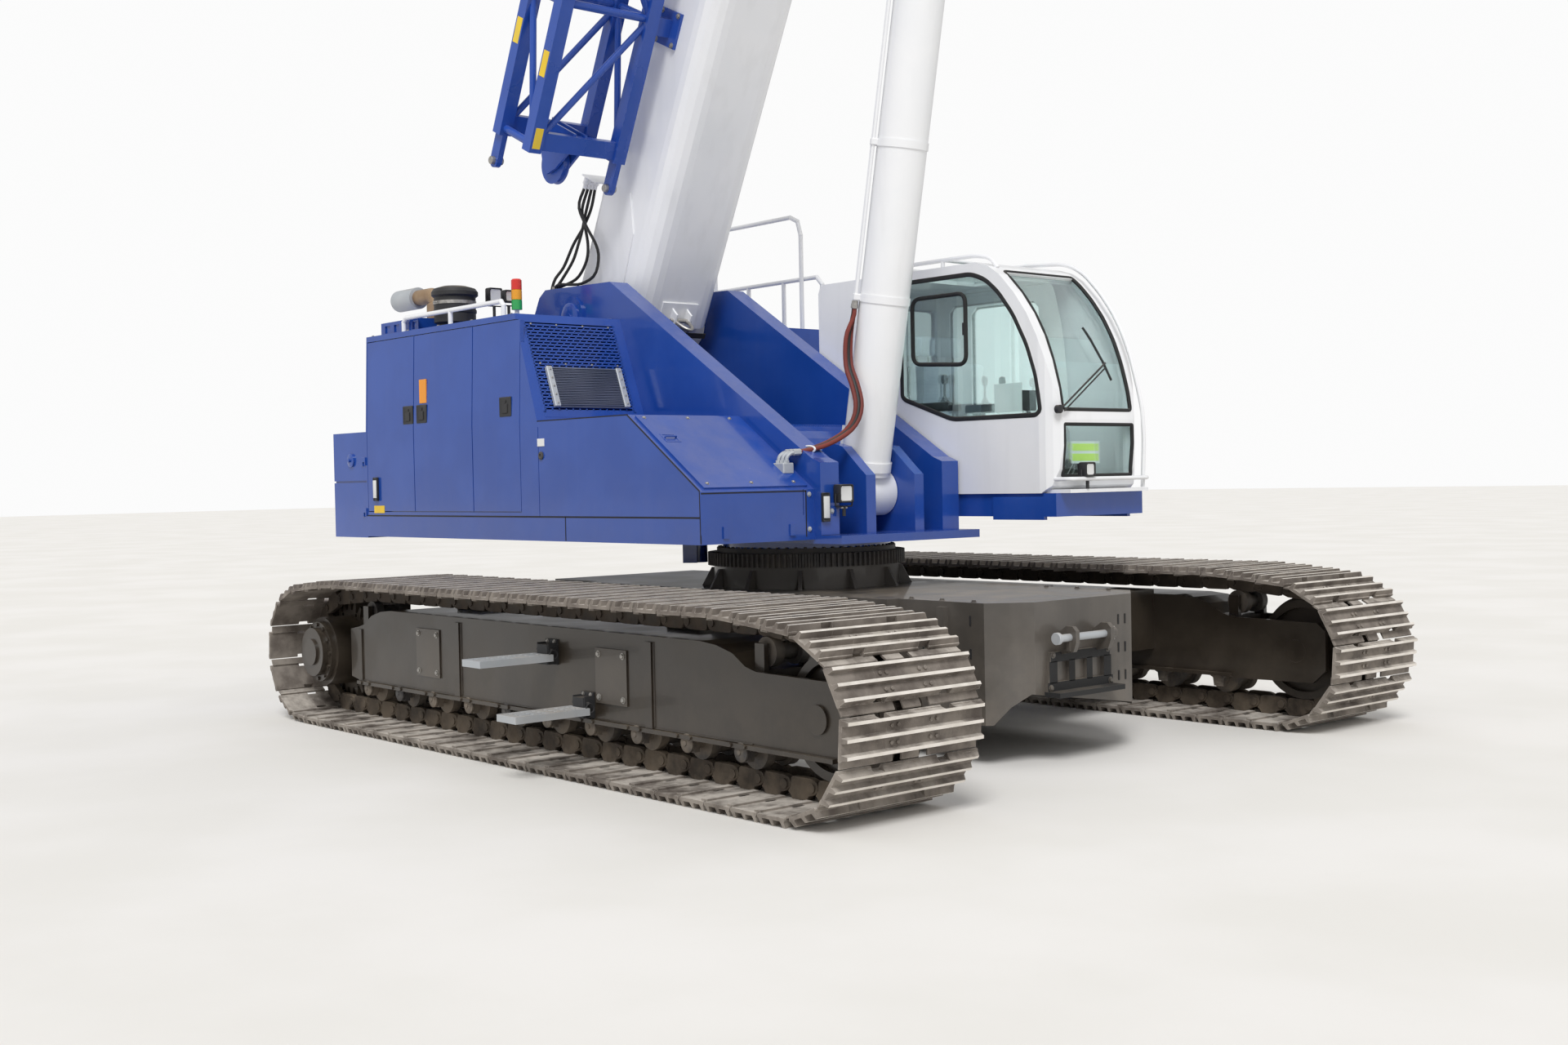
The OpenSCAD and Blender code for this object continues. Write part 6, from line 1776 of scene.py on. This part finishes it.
    def inside(self) -> None:
        """Models the floor mat, the console, the screen, the pedals and the arm boxes with their levers."""
        self.put("floor_mat", [block((-0.42, 0.69, 1.5255), (1.5, 1.4, 1.536), 0.004)], FLOOR_MAT)
        side = [(1.26, 1.53), (1.44, 1.53), (1.44, 1.86), (1.34, 1.96), (1.27, 1.92), (1.3, 1.8)]
        parts = [plate(side, 0.72, 0.2, 0.008), block((1.205, 0.72, 2.0), (1.235, 0.9, 2.13), 0.006, 2),
                 rod((1.3, 0.81, 1.9), (1.225, 0.81, 2.02), 0.012, 12)]
        self.put("front_console", parts, PLASTIC)
        side = [(1.18, 1.54), (1.2, 1.54), (1.3, 1.68), (1.285, 1.69)]
        self.put("pedals", [plate(side, y, 0.07, 0.003) for y in (1.02, 1.12, 1.22)], MACHINERY)
        boot = [(0.03, 0), (0.026, 0.012), (0.02, 0.018), (0.018, 0.03), (0.01, 0.036)]
        lever = [(0.009, 0), (0.009, 0.09), (0.02, 0.1), (0.024, 0.125), (0.02, 0.15), (0.008, 0.158)]
        arms = []
        for y in (0.72, 1.29):
            arms += [block((0.24, y, 2.025), (0.6, y + 0.08, 2.085), 0.012, 2),
                     block((0.3, y + 0.01, 1.536), (0.38, y + 0.07, 2.03), 0.008),
                     turned(boot, (0.56, y + 0.04, 2.084), Axis.Z, 16),
                     turned(lever, (0.56, y + 0.04, 2.11), Axis.Z, 16)]
        self.put("arm_boxes", arms, PLASTIC)

    def swollen(self, obj: Piece) -> None:
        """Swells a pad's closed mesh by pressure under cloth, with a cap on how far it may move.

        Args:
            obj: the pad.
        """
        rest()
        bpy.context.view_layer.objects.active = obj
        obj.select_set(True)
        remesh = obj.modifiers.new("even", "REMESH")
        remesh.mode, remesh.voxel_size = "VOXEL", 0.011
        bpy.ops.object.modifier_apply(modifier=remesh.name)
        start = [v.co.copy() for v in obj.data.vertices]
        cloth = obj.modifiers.new("cover", "CLOTH")
        cloth.settings.use_pressure = True
        cloth.settings.uniform_pressure_force = self.pad_pressure
        cloth.settings.effector_weights.gravity = 0.0
        cloth.settings.quality = 4
        for frame in range(1, 15):
            bpy.context.scene.frame_set(frame)
        bpy.ops.object.modifier_apply(modifier=cloth.name)
        bpy.context.scene.frame_set(1)
        for vertex, origin in zip(obj.data.vertices, start):
            move = vertex.co - origin
            if move.length > self.pad_reach:
                vertex.co = origin + move.normalized() * self.pad_reach
        smooth = obj.modifiers.new("soft", "SMOOTH")
        smooth.iterations = 4
        bpy.ops.object.modifier_apply(modifier=smooth.name)

    def pad(self, name: str, low: Point, high: Point, lean: float) -> Piece:
        """Makes one cushion: a rounded block that leans back and is then swollen.

        Args:
            name: name of the cushion.
            low: lowest corner.
            high: highest corner.
            lean: lean about its lower front edge, in degrees.

        Returns:
            The cushion.
        """
        obj = joined(name, [block(low, high, 0.03, 3)])
        pivot = Vector((low[0], 0, low[2]))
        obj.data.transform(tilted(pivot, math.radians(lean)) @ Matrix.Translation(-pivot))
        self.swollen(obj)
        return obj

    def seat(self) -> None:
        """Models the covered seat: cushion, back and headrest on a sprung base."""
        y0, y1 = 0.81, 1.28
        base = [block((0.2, y0 + 0.06, 1.536), (0.6, y1 - 0.06, 1.6), 0.01)]
        for k in range(4):
            low, narrow = 1.6 + 0.045 * k, 0.008 * (k % 2)
            base.append(block((0.215 + narrow, y0 + 0.075, low), (0.585 - narrow, y1 - 0.075, low + 0.048), 0.014, 2))
        base.append(block((0.17, y0 + 0.02, 1.78), (0.62, y1 - 0.02, 1.812), 0.008))
        base.append(plate([(0.085, 1.86), (0.06, 2.36), (0.045, 2.36), (0.065, 1.84)], y0 + 0.06, 0.35, 0.004))
        base += [rod((0.085, y, 2.38), (0.08, y, 2.46), 0.007, 8) for y in (0.99, 1.1)]
        self.put("seat_frame", base, PLASTIC)
        pads = [self.pad("seat_cushion", (0.19, y0 + 0.03, 1.825), (0.63, y1 - 0.03, 1.915), 3.0),
                self.pad("seat_back", (0.1, y0 + 0.035, 1.925), (0.185, y1 - 0.035, 2.4), -4.5),
                self.pad("seat_head", (0.058, y0 + 0.13, 2.43), (0.115, y1 - 0.13, 2.57), -4.5)]
        for pad in pads:
            dressed(pad, Body.CAB, SEAT_CLOTH, MACHINE, smooth=80)
            if pad is pads[0]:
                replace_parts(pad, "cab_seat")

    def build(self) -> None:
        """Models the cab's fittings."""
        self.seals()
        self.wiper()
        self.guards()
        self.labels()
        self.inside()
        self.seat()


# Boom, cylinder, jib and hook


@dataclass
class BoomTrim(Trim):
    """Pad screws, pipes, clamps, hanger, shackle and pin caps of the boom."""

    width: float = 0.72
    height: float = 0.77
    shrink: float = 0.06
    middle_v: float = -0.015
    clamp_u: tuple[float, ...] = (1.3, 2.5, 3.7, 4.9, 6.1, 7.3, 8.5, 9.7)
    sheave: tuple[float, float] = (0.33, -0.2)
    body = Body.BOOM
    slot = "white_paint"
    frame = BOOM_FRAME

    def pad_screws(self) -> None:
        """Models the adjusting screws round each section's mouth."""
        for i, body in enumerate((Body.BOOM, Body.BOOM_2, Body.BOOM_3, Body.BOOM_4, Body.BOOM_TIP)):
            u, v, less = BOOM_LENGTH + i * STEP_OUT - 0.08, self.middle_v, i * self.shrink / 2 - 0.012
            w, h = self.width / 2 - less, self.height / 2 - less
            sides = [([(u, s * w, v + dv) for dv in (-0.03, 0.05)], outward(s)) for s in (1, -1)]
            sides.append(([(u, y, v + h) for y in (-0.15, -0.05, 0.05, 0.15)], Axis.Z))
            sets = [bolts("screws", places, way, 0.013) for places, way in sides]
            self.put(f"pad_screws_{body.value}", sets, ZINC, body=body)

    def pipes(self) -> None:
        """Models the pipes along the back edge of the base section and their clamps."""
        top = self.middle_v + self.height / 2
        ends = ((0.9, -0.245), (0.93, -0.275))
        pipes = [tube([(u, y, top + 0.022), (9.9, y, top + 0.022)], 0.011, sides=2) for u, y in ends]
        self.put("boom_pipes", pipes, WHITE)
        clamps = [block((u, -0.292, top - 0.001), (u + 0.035, -0.228, top + 0.03), 0.006) for u in self.clamp_u]
        self.put("boom_pipe_clamps", clamps, ZINC)
        places = [(u + 0.0175, -0.26, top + 0.03) for u in self.clamp_u]
        self.screws("pipe_clamp_bolts", places, Axis.Z, 0.008, False)

    def hose_hanger(self) -> None:
        """Models the white bracket that holds the hoses behind the boom's foot."""
        profile = [(0.018, 0), (0.018, 0.03), (0.022, 0.032), (0.022, 0.05), (0.015, 0.054), (0.015, 0.085)]
        unions = [turned(profile, (0.895, -0.39 + 0.03 * i, 0.529), Axis.MINUS_X, 6) for i in range(4)]
        parts = [block((0.8, -0.33, 0.369), (0.98, -0.2, 0.377), 0.002),
                 block((0.895, -0.415, 0.376), (0.907, -0.2, 0.565), 0.002), *unions]
        self.put("hose_hanger", parts, WHITE)

    def shackle(self) -> None:
        """Models the bracket and shackle under the boom's foot, and a black strip of painted shade along the foot's
        underside.
        """
        v = self.middle_v - self.height / 2
        lug = [(0.14, v - 0.012), (0.26, v - 0.012), (0.235, v - 0.085), (0.165, v - 0.085)]
        parts = [block((0.125, -0.16, v - 0.014), (0.3, 0.16, v + 0.001), 0.003),
                 *(plate(lug, y, 0.016, 0.002) for y in (-0.072, 0.056))]
        self.put("shackle_bracket", parts, WHITE)
        # A thin black strip along the underside edge of the boom's foot: painted shade.
        self.put("boom_foot_painted_shade", [block((0.035, -0.3, v - 0.004), (0.075, 0.3, v + 0.003), 0.002)], RUBBER)
        arc = [(math.cos(a), math.sin(a)) for a in (k * math.pi / 14 for k in range(15))]
        bow = [Vector((0.18 - 0.0165 * s, 0.055 * c, v - 0.06 - 0.13 * abs(s))) for c, s in arc]
        bow[0].z += 0.02
        bow[-1].z += 0.02
        pin = rod((0.18, -0.09, v - 0.052), (0.18, 0.09, v - 0.052), 0.016, 12, 0.003)
        self.put("shackle", [tube(bow, 0.013, sides=2), pin], ZINC, slot="dark_steel")

    def caps(self) -> None:
        """Models pin caps and keeper plates at the luff fork and at the boom's head."""
        eye = BOOM_FRAME.inverted() @ LUFF_FRAME @ Vector((LUFF_LENGTH, 0, 0))
        u, v = eye.x, eye.z
        profile = [(0.094, 0), (0.094, 0.012), (0.08, 0.018), (0.024, 0.018)]
        parts = []
        for s in (-1, 1):
            y = s * 0.242
            parts += [turned(profile, (u, s * 0.235, v), outward(s), 28),
                      block((u - 0.2, y - 0.006, v + 0.085), (u + 0.05, y + 0.006, v + 0.135), 0.003)]
        parts.append(rod((u, -0.236, v), (u, 0.236, v), 0.064, 28, 0.006))
        self.put("luff_pin_top", parts, WHITE)
        tip = BOOM_LENGTH + 4 * STEP_OUT
        ends = []
        for du, dv, r, y in ((*self.sheave, 0.055, 0.24), (0.19, 0.17, 0.048, 0.24), (0.09, -0.255, 0.032, 0.238)):
            profile = [(r, 0), (r, 0.01), (r * 0.8, 0.015), (r * 0.3, 0.015)]
            ends += [turned(profile, (tip + du, s * y, dv), outward(s), 24) for s in (-1, 1)]
        self.put("head_pin_caps", ends, MACHINERY, body=Body.BOOM_TIP)
        u, v = tip + self.sheave[0], self.sheave[1]
        spots = [(u + 0.275 * math.cos(a), v + 0.275 * math.sin(a)) for a in (1.35, 2.9)]
        keepers = [rod((x, -0.235, z), (x, 0.235, z), 0.009, 10) for x, z in spots]
        self.put("rope_keepers", keepers, ZINC, body=Body.BOOM_TIP)

    def build(self) -> None:
        """Models the boom's trim."""
        self.pad_screws()
        self.pipes()
        self.hose_hanger()
        self.shackle()
        self.caps()


@dataclass
class CylinderTrim(Trim):
    """Clamps, feed pipes, gland screws and pin caps of the luff cylinder."""

    radius: float = 0.156
    length: float = 3.68
    pipe_reach: float = 0.184
    gland: float = 0.138
    body = Body.BARREL
    slot = "white_paint"
    frame = LUFF_FRAME

    def build(self) -> None:
        """Models the cylinder's trim."""
        turns = [Matrix.Rotation(turn, 4, "X") for turn in PIPE_TURNS]
        r, reach = self.radius, self.pipe_reach
        bands, blocks, pipes, unions = [], [], [], []
        for u in (1.2, 2.15, 3.1):
            bands.append(hoop(r + 0.0005, 0.047, 0.0055, (u, 0, 0), Axis.X, 48))
            holder = block((u + 0.002, -0.017, r - 0.004), (u + 0.045, 0.017, r + 0.044), 0.006)
            blocks += repeated(holder, turns)
        profile = [(0.017, 0), (0.021, 0.004), (0.021, 0.026), (0.018, 0.03), (0.018, 0.046), (0.012, 0.05)]
        for k, turn in enumerate(turns):
            top = 3.42 - 0.05 * k
            path = rounded([(1.2, 0, reach), (top, 0, reach), (top + 0.06, 0, 0.15)], 0.05)
            pipes += repeated(tube(path, 0.011, sides=2), [turn])
            unions += repeated(turned(profile, (1.15, 0, reach), Axis.X, 6), [turn])
        self.put("barrel_bands", bands, WHITE)
        self.put("barrel_pipes", [*blocks, *pipes], WHITE)
        self.put("pipe_unions", unions, ZINC)
        places = [(self.length, self.gland * c, self.gland * s) for c, s in circle(16)]
        self.screws("gland_bolts", places, Axis.X, 0.012, False)
        profile = [(0.088, 0), (0.088, 0.01), (0.074, 0.016), (0.022, 0.016)]
        caps = [turned(profile, (0, s * 0.25, 0), outward(s), 28) for s in (-1, 1)]
        self.put("luff_pin_base", caps, BLUE, body=Body.UPPER, slot="blue_paint")


@dataclass
class JibTrim(Trim):
    """Pins, bare plates and bracket bolts of the lattice jib."""

    start: float = 1.15
    length: float = 8.6
    width: float = 0.78
    height: float = 0.5
    outer_y: float = -1.28
    low_v: float = -0.04
    chord: float = 0.095
    lug: float = 0.189
    body = Body.BOOM
    frame = BOOM_FRAME

    def build(self) -> None:
        """Models the jib's trim."""
        start, half = self.start, self.chord / 2
        ys = (self.outer_y + half, self.outer_y + self.width - half)
        zs = (self.low_v + half, self.low_v + self.height - half)
        spots = [(start - self.lug, ys[0], zs[1]), (start - self.lug, ys[1], zs[0])]
        spots += product((start + self.length + self.lug,), ys, zs)
        pins = [rod((u, y - 0.048, z), (u, y + 0.048, z), 0.0275, 20, 0.004) for u, y, z in spots]
        self.put("jib_pins", pins, ZINC)
        side, low = ys[0] - half, zs[0] - half
        spots = ((start + 0.62, zs[1]), (start + 1.55, zs[1]), (start + 0.5, zs[0]), (start + 7.6, zs[1]))
        tags = [block((u, side - 0.002, z - 0.034), (u + 0.17, side + 0.001, z + 0.034), 0.0008) for u, z in spots]
        tags.append(block((start + 0.03, ys[0] - 0.03, low - 0.002), (start + 0.17, ys[0] + 0.03, low + 0.001),
                          0.0008))
        self.put("jib_tags", tags, YELLOW)
        places = [(start + du, -0.381, self.low_v + dz) for du in (0.86, 1.06, 6.56, 6.76) for dz in (-0.03, 0.16)]
        self.screws("jib_bracket_bolts", places, Axis.MINUS_Y, 0.014)


@dataclass
class HookTrim(Trim):
    """Latch, pin caps and side screws of the hook block."""

    rope_reach: tuple[float, float] = (0.22, -1.76)
    body = Body.HOOK
    slot = "hook_yellow"

    def build(self) -> None:
        """Models the hook block's trim."""
        head = MACHINE.inverted() @ BOOM_FRAME @ Vector((BOOM_LENGTH + 4 * STEP_OUT + 0.33, 0, -0.2))
        x, z = head.x + self.rope_reach[0], head.z + self.rope_reach[1]
        profile = [(0.06, 0), (0.06, 0.01), (0.048, 0.015), (0.018, 0.015)]
        caps = [turned(profile, (x, y, z), way, 24) for y, way in ((-0.155, Axis.MINUS_Y), (0.135, Axis.Y))]
        self.put("block_pin_caps", caps, MACHINERY)
        places = [(x + dx, -0.14, z + dz) for dx in (-0.08, 0.08) for dz in (-0.2, 0.12)]
        self.screws("block_bolts", places, Axis.MINUS_Y, 0.016)
        path = [(x + dx, -0.01, z - dz) for dx, dz in ((0.012, 0.395), (0.075, 0.45), (0.125, 0.505))]
        self.put("hook_latch", [tube(rounded(path, 0.02), 0.012, sides=2)], MACHINERY)


# Scene


@dataclass
class Studio:
    """Floor, lamps and camera."""

    lens: float = 38.87
    sensor: float = 36.0
    camera: tuple[float, float, float] = (8.3876, -7.4136, 1.5923)
    yaw: float = 49.26
    pitch: float = -1.46
    roll: float = -1.12
    sun: float = 1.9
    sun_turn: tuple[float, float, float] = (38, 14, 28)
    sun_size: float = 22
    sky: float = 0.62
    backdrop: float = 0.97
    floor_size: float = 240

    def place_camera(self) -> None:
        """Places the camera at the photograph's angle."""
        rest()
        bpy.ops.object.camera_add()
        camera = bpy.context.object
        yaw, pitch, roll = (math.radians(v) for v in (self.yaw, self.pitch, self.roll))
        aim = Matrix.Rotation(yaw, 4, "Z") @ Matrix.Rotation(math.pi / 2 + pitch, 4, "X")
        camera.matrix_world = Matrix.Translation(at(*self.camera)) @ aim @ Matrix.Rotation(roll, 4, "Z")
        camera.data.lens = self.lens
        camera.data.sensor_width = self.sensor
        camera.data.clip_end = 400
        bpy.context.scene.camera = camera

    def floor(self) -> None:
        """Lays the pale floor."""
        rest()
        bpy.ops.mesh.primitive_plane_add(size=self.floor_size, location=(0, 0, -0.001))
        floor = bpy.context.object
        floor.name = "floor"
        finish = Finish("pale_floor", (0.8, 0.78, 0.74), (0.84, 0.82, 0.79), 0.9, bump=0.0, scale=0.6)
        floor.data.materials.append(finish.material())

    def lights(self) -> None:
        """Sets a soft sun, and a sky that looks paler to the camera than it lights."""
        rest()
        bpy.ops.object.light_add(type="SUN", rotation=tuple(math.radians(v) for v in self.sun_turn))
        lamp = bpy.context.object.data
        lamp.energy = self.sun
        lamp.angle = math.radians(self.sun_size)
        bpy.context.scene.view_settings.view_transform = "Standard"
        world = bpy.data.worlds.new("studio_sky")
        bpy.context.scene.world = world
        world.use_nodes = True
        graph = Graph(world.node_tree)
        ground = next(n for n in world.node_tree.nodes if n.type == "BACKGROUND").inputs
        rays = graph.add("LightPath").outputs
        seen = graph.add("Math", {0: rays["Is Camera Ray"], 1: rays["Is Transmission Ray"]}, operation="MAXIMUM")
        level = graph.add("MapRange", {"Value": seen.outputs[0], "To Min": self.sky, "To Max": self.backdrop})
        graph.give((1, 1, 1, 1), ground["Color"])
        graph.give(level.outputs["Result"], ground["Strength"])

    def build(self) -> None:
        """Sets the whole stage."""
        self.place_camera()
        self.floor()
        self.lights()


def main() -> None:
    """Loads the frame and dresses it."""
    logging.basicConfig(level=logging.INFO, format="%(message)s")
    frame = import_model()
    Studio().build()
    Hoses().build()
    finish_nodes(frame["nodes"])
    for left in (False, True):
        TrackChain(left).build()
        SideFrameTrim(left).build()
    CarBodyTrim().build()
    upper = UpperTrim()
    upper.build()
    CabFittings().build()
    upper.lamp("work_lamp_cab", at(1.7, 0.823, 1.618), Body.CAB, 0.045)
    BoomTrim().build()
    CylinderTrim().build()
    JibTrim().build()
    HookTrim().build()


if __name__ == "__main__":
    main()
